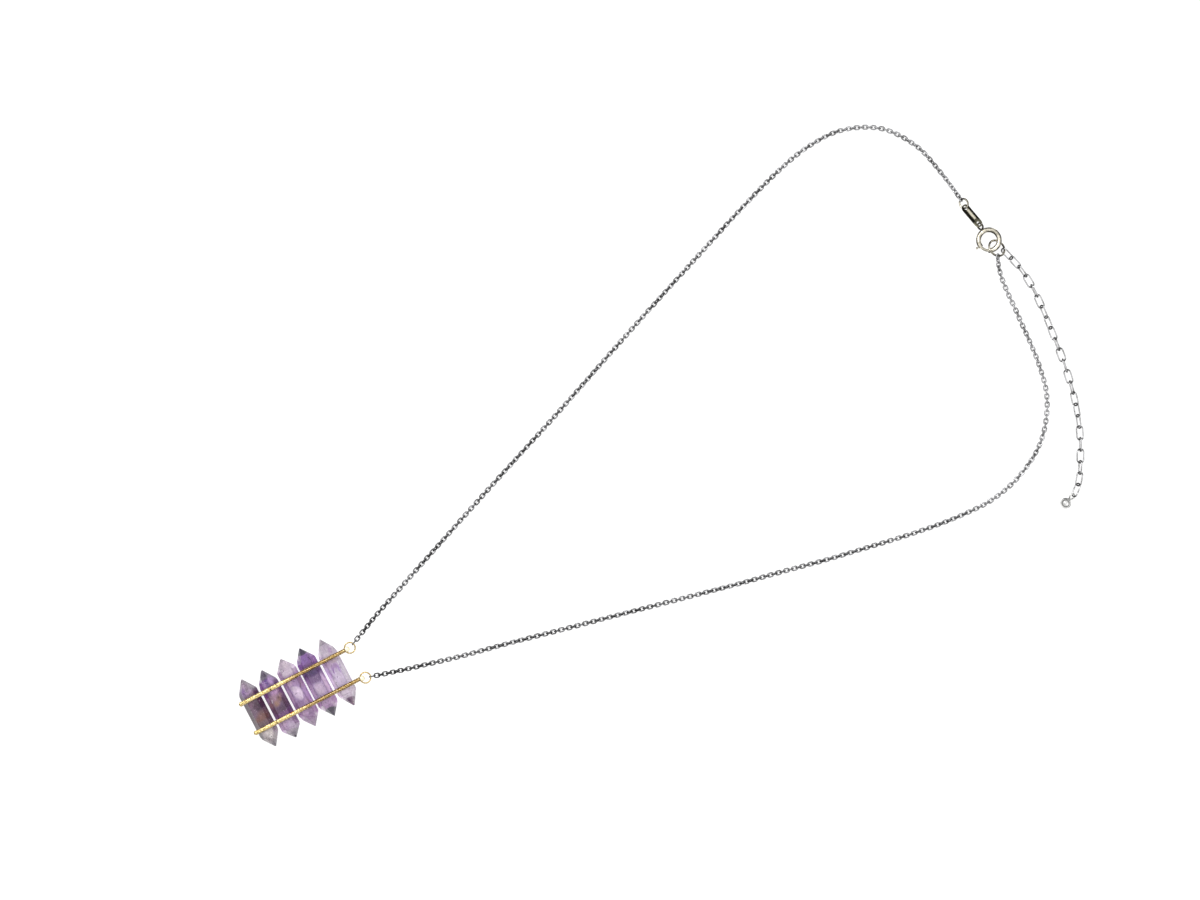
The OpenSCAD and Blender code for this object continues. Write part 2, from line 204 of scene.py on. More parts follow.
def makeTable():
    bm = bmesh.new()
    bmesh.ops.create_grid(bm, x_segments=1, y_segments=1, size=studio["tableSize"] / 2)
    bmesh.ops.translate(bm, verts=bm.verts, vec=(0, 0, -studio["tableDrop"] * mm))
    mesh = bpy.data.meshes.new("table")
    bm.to_mesh(mesh)
    bm.free()
    material, tree, shader = newMaterial("tableSheet", {
        "Roughness": 0.8, "Specular IOR Level": 0.1, "Emission Color": (1, 1, 1, 1),
        "Emission Strength": studio["tableGlow"]})
    place = addNode(tree, "TexCoord")
    grain = addNoise(tree, place.outputs["Object"], 9.0, 3.0)
    tint = addBlend(tree, grain, *[colour(code) for code in studio["tableColours"]])
    tree.links.new(tint, shader.inputs["Base Color"])
    mesh.materials.append(material)
    table = bpy.data.objects.new("table", mesh)
    bpy.context.scene.collection.objects.link(table)


def makeLight(name, power, size, place):
    data = bpy.data.lights.new(name, "AREA")
    data.shape = "DISK"
    data.size = size
    data.energy = power
    light = bpy.data.objects.new(name, data)
    bpy.context.scene.collection.objects.link(light)
    target = Vector((camera["centre"][0] * mm, camera["centre"][1] * mm, 0))
    light.location = target + pictureRight * place[0] + pictureUp * place[1] + Vector((0, 0, place[2]))
    light.rotation_euler = (light.location - target).to_track_quat("Z", "Y").to_euler()
    light.visible_camera = False


def makeRoom():
    world = bpy.data.worlds.new("room")
    world.use_nodes = True
    tree = world.node_tree
    tree.nodes.clear()
    looking = addNode(tree, "TexCoord")
    parts = addNode(tree, "SeparateXYZ", {"Vector": looking.outputs["Generated"]})
    height = addRamp(tree, parts.outputs["Z"], (studio["wallTop"], studio["ceilingEdge"]),
                     (studio["walls"], studio["ceiling"]), smooth=True)
    rays = addNode(tree, "LightPath")
    level = addNode(tree, "Mix", {"Factor": rays.outputs["Is Camera Ray"], "A": height,
                                  "B": studio["backdrop"]}, data_type="FLOAT")
    sky = addNode(tree, "Background", {"Color": (1, 1, 1, 1), "Strength": level.outputs["Result"]})
    out = addNode(tree, "OutputWorld")
    tree.links.new(sky.outputs["Background"], out.inputs["Surface"])
    bpy.context.scene.world = world


makeTable()
makeLight("keyLight", studio["keyPower"], studio["keySize"], studio["keyPlace"])
makeLight("fillLight", studio["fillPower"], studio["fillSize"], studio["fillPlace"])
makeRoom()
bpy.context.scene.view_settings.view_transform = "Standard"
print("studio ready")


# Effects that the materials share. Positions are in millimetres

def makeCloudGroup():
    # Blends a coloured cloud into a colour, round a point
    group, given, made = newGroup("colourCloud", {
        "Colour": "Color", "Cloud": "Color", "Position": "Vector", "Centre": "Vector",
        "Size": "Vector", "Softness": "Float", "Strength": "Float"}, {"Colour": "Color"})
    away = addVectors(group, "SUBTRACT", given["Position"], given["Centre"])
    shares = addVectors(group, "DIVIDE", away, given["Size"])
    reach = addVectors(group, "LENGTH", shares, result="Value")
    inner = addMaths(group, "SUBTRACT", 1.0, given["Softness"])
    outer = addMaths(group, "ADD", 1.0, given["Softness"])
    mask = addRamp(group, reach, (inner, outer), (given["Strength"], 0.0), smooth=True)
    group.links.new(addBlend(group, mask, given["Colour"], given["Cloud"]), made["Colour"])
    return group


def makeWarpGroup():
    # Bends positions, so that clouds get ragged outlines
    group, given, made = newGroup("stoneWarp", {
        "Position": "Vector", "Seed": "Float", "Scale": "Float", "Amount": "Float"}, {"Position": "Vector"})
    coarse = addNode(group, "TexNoise", {"Vector": given["Position"], "W": given["Seed"],
                                         "Scale": given["Scale"], "Detail": 5.0, "Roughness": 0.62},
                     noise_dimensions="4D")
    middle = addVectors(group, "SUBTRACT", coarse.outputs["Color"], (0.5, 0.5, 0.5))
    push = addScaled(group, middle, given["Amount"])
    group.links.new(addVectors(group, "ADD", given["Position"], push), made["Position"])
    return group


def makeMottleGroup():
    # Lightens and darkens a colour in drawn-out blotches
    group, given, made = newGroup("stoneMottle", {
        "Colour": "Color", "Position": "Vector", "Stretch": "Vector", "Scale": "Float",
        "Amount": "Float", "Seed": "Float"}, {"Colour": "Color"})
    drawn = addVectors(group, "MULTIPLY", given["Position"], given["Stretch"])
    blotches = addNoise(group, drawn, given["Scale"], 5.0, 0.6, given["Seed"], distortion=0.4)
    lowest = addMaths(group, "SUBTRACT", 1.0, given["Amount"])
    highest = addMaths(group, "ADD", 1.0, given["Amount"])
    level = addRamp(group, blotches, (0.3, 0.7), (lowest, highest))
    group.links.new(addBlend(group, 1.0, given["Colour"], level, "MULTIPLY"), made["Colour"])
    return group


def makeSpeckGroup():
    # Small grains, thicker in some places than in others
    group, given, made = newGroup("smallSpecks", {
        "Position": "Vector", "Scale": "Float", "Size": "Float", "Share": "Float",
        "Seed": "Float"}, {"Mask": "Float"})
    moved = addVectors(group, "ADD", given["Position"], given["Seed"])
    cells = addNode(group, "TexVoronoi", {"Vector": moved, "Scale": given["Scale"]})
    edge = addMaths(group, "MULTIPLY", given["Size"], 0.4)
    dot = addRamp(group, cells.outputs["Distance"], (edge, given["Size"]), (1.0, 0.0), smooth=True)
    crowd = addNoise(group, moved, 0.45, 2.0)
    thick = addRamp(group, crowd, (0.35, 0.65), (0.0, given["Share"]))
    lot = addNode(group, "SeparateColor", {"Color": cells.outputs["Color"]})
    kept = addMaths(group, "LESS_THAN", lot.outputs["Red"], thick)
    group.links.new(addMaths(group, "MULTIPLY", dot, kept), made["Mask"])
    return group


def makeLineGroup():
    # A straight crack or a dotted line between two points, seen from above
    group, given, made = newGroup("stoneLine", {
        "Position": "Vector", "Start": "Vector", "End": "Vector", "Width": "Float",
        "Dots": "Float", "Seed": "Float"}, {"Mask": "Float"})
    flat = addVectors(group, "MULTIPLY", given["Position"], (1, 1, 0))
    away = addVectors(group, "SUBTRACT", flat, given["Start"])
    run = addVectors(group, "SUBTRACT", given["End"], given["Start"])
    reach = addVectors(group, "DOT_PRODUCT", away, run, result="Value")
    whole = addVectors(group, "DOT_PRODUCT", run, run, result="Value")
    foot = addScaled(group, run, addMaths(group, "DIVIDE", reach, whole, use_clamp=True))
    gap = addVectors(group, "DISTANCE", away, foot, result="Value")
    line = addRamp(group, gap, (0.0, given["Width"]), (1.0, 0.0), smooth=True)
    beads = addNoise(group, given["Position"], 6.0, 1.0, seed=given["Seed"])
    lowest = addMaths(group, "SUBTRACT", 1.0, given["Dots"])
    gate = addRamp(group, beads, (0.46, 0.54), (lowest, 1.0))
    group.links.new(addMaths(group, "MULTIPLY", line, gate), made["Mask"])
    return group


colourCloud = makeCloudGroup()
stoneWarp = makeWarpGroup()
stoneMottle = makeMottleGroup()
smallSpecks = makeSpeckGroup()
stoneLine = makeLineGroup()


# The stones. Zones are stretches along a stone, with gains for the colours of the clouds in
# them. Clouds are colour, place along and across, half length and half width in millimetres,
# softness and strength, laid on in turn. Lines are colour, start, end, width and how dotted
# they are. Specks are colour, cells to a millimetre, size and share. Sides are the gains of
# the left and the right side facets

stoneCut = {
    "edgeWear": 0.07,           # millimetres taken off each edge
    "wearSteps": 2,
    "refraction": 1.544,
    "clearness": 0.4,
    "roughness": (0.07, 0.252),
    "raggedness": (0.8, 1.1),   # how often and how far, in millimetres, the clouds' outlines wander
    "crackRaggedness": (3.0, 0.3),
    "sharpBelow": 0.12,         # softness under which a cloud keeps its outline
    "blotches": ((0.9, (0.5, 1.2, 1.0), 1.2), (2.4, (0.7, 1.4, 1.0), 1.4), (7.0, (1.0, 1.0, 1.0), 0.9)),
    "lineWidth": 0.7,           # share of the widths given for the lines
    "lineStrength": 0.85,
    "lineFloor": (2.0, 2.4),    # heights between which the lines come in
    "tint": "#fefafa",
    "sideReach": (1.05, 1.7),   # millimetres from the middle between which the sides' tint starts
    "edgeLine": (-5.6, 5.4, 2.0),       # the dotted long edges' ends, and their distance from the middle
}
stoneLooks = {
    "crystal_1": {
        "slot": "smoky_crystal", "across": -9.6, "body": "#7c647a",
        "zones": ((-4, 4, (0.95, 0.89, 0.91)),),
        "clouds": [
            ("#a9a0ac", -7.2, 0.0, 2.2, 3.4, 0.3, 1.0),
            ("#bba8bf", -6.4, -0.2, 0.8, 0.7, 0.6, 0.9),
            ("#9878b2", -5.3, -1.1, 0.9, 0.9, 0.6, 0.9),
            ("#a88fb2", -4.9, 0.3, 0.8, 0.9, 0.6, 0.8),
            ("#99939e", -5.6, 1.7, 1.2, 0.5, 0.5, 0.8),
            ("#77546e", -3.9, 1.3, 0.9, 0.9, 0.6, 0.9),
            ("#5c3a5c", -2.6, 1.7, 2.0, 0.8, 0.4, 1.0),
            ("#472c49", -1.2, 0.7, 1.1, 0.8, 0.6, 1.0),
            ("#53374f", -2.0, 0.2, 0.9, 0.7, 0.7, 0.8),
            ("#80657e", -2.7, -0.8, 0.9, 0.8, 0.6, 0.8),
            ("#69506a", -1.4, -1.9, 2.4, 0.5, 0.5, 0.9),
            ("#84635f", 1.0, 0.8, 1.2, 1.2, 0.6, 1.0),
            ("#8f6c60", 1.5, -0.6, 0.8, 0.9, 0.6, 0.9),
            ("#7e6c72", 2.6, -0.6, 0.8, 1.8, 0.6, 0.9),
            ("#6f5a62", 1.0, -1.8, 1.3, 0.4, 0.6, 0.8),
            ("#b9b1b4", 5.6, 0.0, 2.0, 3.0, 0.25, 1.0),
            ("#cdc7c6", 5.0, 0.2, 0.8, 0.7, 0.7, 0.9),
            ("#9d8d9a", 4.8, -1.5, 1.0, 0.4, 0.6, 0.8),
            ("#a095a4", 5.0, 1.5, 1.0, 0.4, 0.6, 0.8),
            ("#98959d", 7.5, 0.0, 0.9, 1.3, 0.5, 0.9),
            ("#f4f1f2", 5.75, 0.1, 0.38, 0.38, 0.35, 0.9),
            ("#2f2830", 5.75, 0.15, 0.13, 0.13, 0.35, 1.0)],
        "lines": [
            ("#eadfec", (-2.5, 1.5), (-2.3, 1.4), 0.22, 0.3),
            ("#3c2a3c", (1.0, -1.6), (1.3, -1.65), 0.18, 0), ("#d8c8cc", (2.0, 1.35), (2.4, 1.5), 0.16, 0.4),
            ("#3c2c34", (1.8, 1.4), (2.1, 1.3), 0.14, 0),
            ("#e6dbe8", (-7.45, -0.15), (-7.3, -0.15), 0.16, 0),
            ("#5b4a60", (-7.1, 0.0), (-7.0, 0.2), 0.16, 0), ("#4b3050", (-4.6, 0.3), (-4.3, 0.0), 0.2, 0.2)],
        "darkSpecks": ("#3a2440", 2.6, 0.36, 0.55),
        "lightSpecks": ("#cfbccf", 2.6, 0.34, 0.5),
        "edge": "#564258", "mottle": 0.26, "seed": 1.0, "sides": (0.5, 1.1),
    },
    "crystal_2": {
        "slot": "banded_crystal", "across": -4.8, "body": "#785c84",
        "zones": ((-4, 4, (1.0, 0.965, 0.92)), (4, 9, (1.1, 1.1, 1.07))),
        "clouds": [
            ("#8a8494", -7.3, 0.4, 1.7, 2.4, 0.25, 1.0),
            ("#625a6c", -6.7, 0.1, 0.6, 0.5, 0.6, 0.9),
            ("#b492cc", -5.2, 0.8, 1.1, 0.6, 0.4, 1.0),
            ("#6c4d92", -5.0, -0.15, 0.9, 0.35, 0.5, 1.0),
            ("#a987c2", -4.9, -0.9, 0.9, 0.4, 0.5, 0.9),
            ("#89609f", -4.8, -1.8, 0.9, 0.4, 0.4, 0.9),
            ("#cfced8", -6.7, -1.2, 1.1, 0.3, 0.4, 0.95),
            ("#ae8ec4", -2.8, 0.4, 0.8, 1.0, 0.6, 1.0),
            ("#c3a6d0", -2.9, 1.2, 0.7, 0.3, 0.6, 0.8),
            ("#7c5092", -2.5, 1.8, 1.0, 0.3, 0.5, 0.9),
            ("#7e4e94", -2.7, -1.6, 0.9, 0.6, 0.5, 1.0),
            ("#a488a4", -1.4, -0.2, 0.8, 1.4, 0.6, 0.9),
            ("#bc9eae", -1.4, 1.3, 0.5, 0.3, 0.6, 0.8),
            ("#80605f", -0.8, 0.7, 0.7, 0.5, 0.6, 0.95),
            ("#9c7f76", 0.0, -0.3, 0.7, 0.7, 0.6, 0.95),
            ("#826470", 0.0, -1.5, 0.8, 0.5, 0.6, 0.8),
            ("#604b64", 0.4, 1.5, 1.2, 0.7, 0.5, 0.95),
            ("#5d4466", 1.4, 0.3, 0.8, 1.2, 0.6, 0.95),
            ("#614660", 1.4, -1.4, 1.0, 0.7, 0.6, 0.9),
            ("#7b5190", 2.6, 0.4, 0.6, 1.9, 0.5, 0.95),
            ("#9d88aa", 5.2, 0.2, 2.1, 3.0, 0.15, 1.0),
            ("#aea1ba", 5.8, 0.6, 0.8, 0.8, 0.6, 0.8),
            ("#a48cac", 4.7, -1.0, 0.8, 0.6, 0.6, 0.8),
            ("#8f8b98", 7.4, 0.2, 0.9, 1.4, 0.4, 0.9),
            ("#b9b1c0", 6.5, -0.2, 0.4, 0.8, 0.6, 0.8),
            ("#4b4754", 8.15, 0.0, 0.25, 0.25, 0.5, 1.0)],
        "lines": [
            ("#e4d6e2", (-1.1, -0.9), (-0.6, -1.1), 0.26, 0.2),
            ("#6a406e", (-2.5, -0.4), (-2.0, -0.7), 0.16, 0),
            ("#5b4660", (0.7, -1.9), (2.2, -1.8), 0.2, 0.5), ("#574a60", (-7.2, 0.2), (-6.6, 0.1), 0.2, 0.3),
            ("#4c3a54", (-1.4, 0.8), (-0.9, 0.6), 0.2, 0.3), ("#49354f", (1.5, 0.5), (1.75, 0.35), 0.18, 0),
            ("#d5bfe0", (-5.8, 0.5), (-4.5, 0.65), 0.12, 0.3),
            ("#3f3346", (-5.2, -2.0), (-5.1, -1.8), 0.2, 0)],
        "darkSpecks": ("#3e2a46", 2.6, 0.36, 0.4),
        "lightSpecks": ("#dccbe2", 2.8, 0.3, 0.2),
        "edge": "#4c3b54", "mottle": 0.2, "seed": 2.0, "sides": (1.9, 1.2),
    },
    "crystal_3": {
        "slot": "lilac_crystal", "across": 0.0, "body": "#a78db7",
        "zones": ((-9, 9, (1.02, 1.0, 0.985)),),
        "clouds": [
            ("#cfc5da", -6.2, 0.2, 2.0, 3.0, 0.3, 1.0),
            # painted highlight: a whitish spot
            ("#e2dae8", -6.7, 0.3, 0.7, 0.5, 0.7, 0.9),
            ("#b5b0c2", -6.7, -1.2, 1.3, 0.35, 0.4, 0.9),
            ("#ad96ba", -5.0, -1.7, 1.0, 0.4, 0.5, 0.9),
            ("#b0abb9", -8.0, 0.0, 0.5, 0.6, 0.5, 0.9),
            ("#a286b4", -2.8, 0.7, 0.9, 0.9, 0.6, 0.95),
            ("#b99fbd", -2.7, -0.7, 0.8, 0.6, 0.7, 0.9),
            ("#9a7f9e", -2.0, 1.7, 1.4, 0.35, 0.5, 0.9),
            ("#d0c2de", 0.1, 0.1, 1.6, 0.95, 0.2, 1.0),
            ("#ddd2ea", 0.1, 0.4, 0.9, 0.4, 0.7, 0.9),
            ("#cfc4d8", -1.2, -0.5, 0.5, 0.4, 0.6, 0.8),
            ("#a98fb4", 0.6, -1.7, 2.4, 0.4, 0.5, 0.8),
            ("#9276a4", 2.4, -0.7, 0.7, 1.3, 0.5, 0.95),
            ("#a58aae", 2.4, 1.1, 0.7, 0.6, 0.6, 0.9),
            ("#ac93ba", 5.4, 0.0, 2.0, 3.0, 0.3, 1.0),
            ("#947aa4", 4.9, 0.7, 0.8, 0.5, 0.7, 0.9),
            ("#b49bbf", 4.7, -0.7, 0.6, 0.6, 0.6, 0.8),
            ("#a99db4", 7.3, 0.3, 0.9, 0.9, 0.6, 0.9),
            ("#b9b0c4", 6.0, 1.5, 0.9, 0.3, 0.5, 0.8)],
        "lines": [
            ("#74606a", (-1.65, 1.5), (-0.85, 1.15), 0.2, 0),
            ("#63407a", (-2.7, 0.2), (-2.55, 0.55), 0.2, 0),
            ("#6a4f78", (-1.3, -1.2), (0.3, -1.3), 0.2, 0.9),
            ("#66507a", (-0.1, -0.25), (0.05, -0.6), 0.16, 0.4),
            ("#7d6590", (1.85, 0.7), (1.0, -0.8), 0.16, 0.4), ("#8b6f96", (6.0, 0.6), (5.3, -1.0), 0.2, 0.2),
            ("#5e4a68", (-5.75, -0.4), (-5.5, -0.65), 0.16, 0),
            ("#6d5a78", (-6.2, -0.7), (-6.1, -0.8), 0.16, 0),
            ("#5f4c6a", (-1.2, 1.1), (0.4, 1.0), 0.14, 0.9),
            ("#6d5480", (-1.9, 0.0), (-1.7, -0.9), 0.14, 0.8)],
        "darkSpecks": ("#5b4468", 2.8, 0.34, 0.3),
        "lightSpecks": ("#eee8f4", 2.8, 0.3, 0.25),
        "edge": "#6f5a7a", "mottle": 0.15, "seed": 3.0, "sides": (1.5, 1.65),
    },
    "crystal_4": {
        "slot": "violet_crystal", "across": 4.7, "body": "#b29dc0",
        "zones": ((-9, -4, (0.93, 0.89, 0.91)), (-4, 9, (1.0, 0.975, 0.975))),
        "clouds": [
            ("#8d67ae", -5.2, 0.0, 1.6, 3.0, 0.2, 1.0),
            ("#9c7cc4", -5.7, -0.2, 0.8, 0.7, 0.6, 0.9),
            ("#8055a2", -5.2, -1.4, 0.9, 0.5, 0.5, 0.9),
            ("#a07cb8", -5.2, 1.6, 0.8, 0.4, 0.5, 0.9),
            ("#6d4882", -3.9, 0.0, 0.6, 2.4, 0.5, 0.9),
            ("#453f5a", -7.9, 0.0, 1.15, 1.6, 0.08, 1.0),
            ("#d3cadf", -6.8, -1.35, 0.8, 0.22, 0.4, 0.9),
            ("#593e72", -2.3, 0.0, 1.1, 2.4, 0.5, 1.0),
            ("#4f3a70", -2.4, 0.2, 0.5, 0.8, 0.7, 0.8),
            ("#7c6490", -0.8, 0.2, 0.7, 1.8, 0.6, 0.95),
            ("#85659a", -0.9, -1.2, 1.0, 0.6, 0.6, 0.8),
            ("#cfc0d6", 0.9, 1.7, 2.3, 0.35, 0.4, 0.9),
            ("#c3b3cf", 1.4, 0.0, 1.3, 0.95, 0.25, 1.0),
            ("#d0c3da", 1.6, -0.3, 0.6, 0.4, 0.8, 0.9),
            ("#b29ebe", 1.2, -1.6, 1.7, 0.35, 0.5, 0.9),
            ("#b39abf", 4.7, 0.0, 1.6, 3.0, 0.3, 1.0),
            ("#c3b4ca", 5.8, 1.2, 0.7, 0.4, 0.6, 0.8),
            ("#595765", 7.4, -0.1, 1.5, 1.7, 0.08, 1.0),
            ("#73707c", 6.8, 0.4, 0.6, 0.4, 0.7, 0.8),
            ("#d8d4e0", 5.9, -1.5, 0.8, 0.3, 0.4, 0.9)],
        "lines": [
            ("#150f20", (-5.9, 0.85), (-5.1, 1.05), 0.17, 0.1),
            ("#150f20", (-5.1, 1.1), (-4.4, 0.95), 0.19, 0.1),
            ("#1f1530", (-6.1, -1.95), (-5.9, -1.85), 0.2, 0),
            ("#8a6f9c", (0.1, -1.15), (2.8, -1.1), 0.16, 0.8),
            ("#6c4f7e", (0.6, -1.7), (0.75, -1.75), 0.18, 0),
            ("#5d3f70", (-0.5, -0.1), (-0.35, -0.3), 0.18, 0),
            ("#7f5f8e", (5.7, 0.8), (5.95, 0.65), 0.18, 0), ("#9c76a4", (5.3, 0.6), (5.05, -0.1), 0.16, 0.6),
            ("#e2d8ea", (-1.4, 1.5), (-1.0, 1.45), 0.16, 0.4),
            ("#5b4070", (-1.2, 1.0), (0.2, 0.9), 0.18, 0.7)],
        "darkSpecks": ("#3f2b50", 2.8, 0.36, 0.35),
        "lightSpecks": ("#e0d2e8", 2.8, 0.3, 0.25),
        "edge": "#56446a", "mottle": 0.17, "seed": 4.0, "sides": (1.55, 1.6),
    },
    "crystal_5": {
        "slot": "pale_crystal", "across": 9.5, "body": "#c4b6d3",
        "zones": ((-9, -4, (0.98, 0.97, 0.96)), (-4, 9, (1.0, 0.995, 0.97))),
        "clouds": [
            ("#cec4d9", -5.4, -0.2, 1.6, 3.0, 0.2, 1.0),
            ("#b29bbf", -5.1, 0.9, 0.8, 0.4, 0.7, 0.9),
            ("#dad6e2", -6.0, -1.5, 0.9, 0.4, 0.6, 0.9),
            ("#a59dad", -7.9, 0.0, 1.25, 1.6, 0.1, 1.0),
            ("#bcb5c2", -7.4, -0.3, 0.5, 0.5, 0.7, 0.7),
            ("#b7a4b6", -2.8, 0.6, 0.8, 0.9, 0.6, 0.9),
            ("#b097ba", -2.5, -0.9, 0.9, 0.9, 0.6, 0.9),
            ("#a98bbd", -1.4, 0.4, 0.6, 0.8, 0.6, 0.9),
            ("#a88bc6", -0.4, 0.8, 0.9, 0.25, 0.6, 0.95),
            ("#d2c6e2", 1.0, 0.2, 1.6, 0.8, 0.5, 0.9),
            ("#9a79b4", -0.8, -0.4, 0.8, 0.2, 0.6, 0.95),
            ("#ad93c4", -0.2, -1.3, 1.3, 0.4, 0.6, 0.9),
            ("#c7bed3", 1.8, -1.4, 1.2, 0.5, 0.6, 0.9),
            ("#cfcada", 0.3, 1.75, 3.0, 0.35, 0.2, 1.0),
            ("#d1c6dc", 4.8, 0.0, 1.5, 3.0, 0.25, 1.0),
            ("#8c7690", 7.0, -0.1, 1.1, 1.4, 0.1, 1.0),
            ("#6d5676", 6.4, -0.4, 0.5, 0.3, 0.6, 0.9),
            ("#b8a9b8", 7.1, 0.4, 0.4, 0.3, 0.6, 0.8),
            ("#b4acbb", 6.0, 1.4, 0.7, 0.3, 0.5, 0.8)],
        "lines": [
            # painted highlight: a white dotted line along the front facet's edge
            ("#ffffff", (-2.2, 1.25), (2.9, 1.25), 0.2, 0.75),
            ("#5d4a68", (-1.5, 1.3), (2.8, 1.14), 0.13, 0.95),
            ("#6a4a8a", (-1.3, -0.15), (-0.25, -0.6), 0.13, 0.4),
            ("#7d5ca4", (-0.6, 0.75), (0.4, 0.85), 0.13, 0.5),
            ("#75628a", (0.8, -0.25), (1.0, -0.35), 0.22, 0),
            ("#6a5470", (5.1, 0.9), (5.05, -1.0), 0.16, 0.85),
            ("#5b4666", (-2.2, -0.2), (-1.8, -0.4), 0.14, 0),
            ("#4d3a52", (-3.25, -0.8), (-3.1, -0.95), 0.2, 0),
            ("#8366a0", (-0.2, -1.2), (0.5, -1.5), 0.14, 0.4),
            ("#f3ead9", (7.35, 0.15), (7.5, 0.1), 0.16, 0), ("#8a7c96", (-2.7, 1.6), (-2.5, 1.5), 0.2, 0),
            ("#7c7088", (-7.0, 0.3), (-6.7, -0.4), 0.16, 0.6)],
        "darkSpecks": ("#655070", 2.8, 0.34, 0.25),
        "lightSpecks": ("#f6f3f9", 2.8, 0.3, 0.25),
        "edge": "#7c6c86", "mottle": 0.13, "seed": 5.0, "sides": (1.8, 1.12),
    },
}


def zoneGains(look, along):
    # The red, green and blue gains of the stretch of a stone that a cloud lies in
    for start, end, gains in look["zones"]:
        if start < along < end:
            return gains
    return (1, 1, 1)


def layOn(tree, tone, code, mask, strength=1.0):
    return addBlend(tree, addMaths(tree, "MULTIPLY", mask, strength), tone, colour(code))


def layCloud(tree, tone, cloud, where, centre, size, softness, strength):
    return useGroup(tree, colourCloud, {
        "Colour": tone, "Cloud": cloud, "Position": where, "Centre": centre, "Size": size,
        "Softness": softness, "Strength": strength}).outputs["Colour"]


def makeStoneMaterial(name, look):
    material, tree, shader = newMaterial(name, {
        "IOR": stoneCut["refraction"], "Transmission Weight": stoneCut["clearness"]})
    here = inMillimetres(tree, (0, -look["across"], 0))
    there, frayed = [
        useGroup(tree, stoneWarp, {"Position": here, "Seed": look["seed"], "Scale": scale,
                                   "Amount": amount}).outputs["Position"]
        for scale, amount in (stoneCut["raggedness"], stoneCut["crackRaggedness"])]
    body = addNode(tree, "RGB")
    body.outputs[0].default_value = colour(look["body"])
    tone = body.outputs[0]
    for code, along, across, length, width, softness, strength in look["clouds"]:
        where = here if softness < stoneCut["sharpBelow"] else there
        tone = layCloud(tree, tone, colour(code, zoneGains(look, along)), where, (along, across, 0),
                        (length, width, 1000), softness, strength)
    for scale, stretch, share in stoneCut["blotches"]:
        tone = useGroup(tree, stoneMottle, {
            "Colour": tone, "Position": there, "Stretch": stretch, "Scale": scale,
            "Amount": share * look["mottle"], "Seed": look["seed"] + scale}).outputs["Colour"]
    for key, seed, strength in (("darkSpecks", 10.0, 0.75), ("lightSpecks", 20.0, 0.45)):
        code, scale, size, share = look[key]
        specks = useGroup(tree, smallSpecks, {"Position": frayed, "Scale": scale, "Size": size,
                                              "Share": share, "Seed": look["seed"] + seed})
        tone = layOn(tree, tone, code, specks.outputs["Mask"], strength)
    parts = addNode(tree, "SeparateXYZ", {"Vector": here})
    upper = addRamp(tree, parts.outputs["Z"], stoneCut["lineFloor"])
    fromX, toX, edge = stoneCut["edgeLine"]
    lines = look["lines"] + [(look["edge"], (fromX, side * edge), (toX, side * edge), 0.2, 0.9)
                             for side in (-1, 1)]
    for number, (code, start, end, width, dots) in enumerate(lines):
        line = useGroup(tree, stoneLine, {
            "Position": frayed, "Start": (*start, 0), "End": (*end, 0), "Dots": dots,
            "Width": width * stoneCut["lineWidth"], "Seed": look["seed"] + number})
        seen = addMaths(tree, "MULTIPLY", line.outputs["Mask"], upper)
        tone = layOn(tree, tone, code, seen, stoneCut["lineStrength"])
    # the sides lie in each other's shade, so they are lifted, each by its own gain
    for side, gain in zip((-1, 1), look["sides"]):
        near, far = stoneCut["sideReach"]
        level = addRamp(tree, parts.outputs["Y"], (side * near, side * far), (1.0, gain), smooth=True)
        tone = addBlend(tree, 1.0, tone, level, "MULTIPLY")
    tint = addBlend(tree, 1.0, tone, colour(stoneCut["tint"]), "MULTIPLY")
    tree.links.new(tint, shader.inputs["Base Color"])
    dull = addRamp(tree, addNoise(tree, here, 1.4, 4.0), (0.35, 0.7), stoneCut["roughness"])
    tree.links.new(dull, shader.inputs["Roughness"])
    addRelief(tree, shader, addNoise(tree, here, 2.2, 5.0), 0.25, 0.05)
    return material


def cutStone(node):
    # The CAD stone with its flats made whole and its edges worn
    look = stoneLooks[node]
    bm = bmesh.new()
    bm.from_mesh(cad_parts[node].data)
    bmesh.ops.remove_doubles(bm, verts=bm.verts, dist=0.002 * mm)
    bmesh.ops.dissolve_limit(bm, angle_limit=radians(1), verts=bm.verts, edges=bm.edges)
    bmesh.ops.bevel(bm, geom=bm.edges[:], offset=stoneCut["edgeWear"] * mm, offset_type="OFFSET",
                    segments=stoneCut["wearSteps"], profile=0.5, affect="EDGES", material=-1,
                    clamp_overlap=True)
    finishPiece(bm, node + "_stone", makeStoneMaterial(node + "Stone", look), look["slot"],
                replaced=[node], smooth=False)


for node in stoneLooks:
    cutStone(node)


# Metals

def makeTarnishGroup():
    # Darkens metal in soft stains, and scratches it finely
    group, given, made = newGroup("metalTarnish", {
        "Colour": "Color", "Stain": "Color", "Position": "Vector", "Scale": "Float", "Cover": "Float",
        "Shine": "Float"}, {"Colour": "Color", "Roughness": "Float", "Height": "Float"})
    stains = addNoise(group, given["Position"], given["Scale"], 4.0, 0.6)
    mask = addRamp(group, stains, (0.44, 0.64), (0.0, given["Cover"]))
    fine = addVectors(group, "MULTIPLY", given["Position"], (3.0, 14.0, 14.0))
    scratches = addNoise(group, fine, 1.0, 3.0)
    rough = addMaths(group, "MULTIPLY_ADD", mask, 0.3, given["Shine"])
    group.links.new(addBlend(group, mask, given["Colour"], given["Stain"]), made["Colour"])
    group.links.new(addMaths(group, "MULTIPLY_ADD", scratches, 0.12, rough), made["Roughness"])
    group.links.new(scratches, made["Height"])
    return group


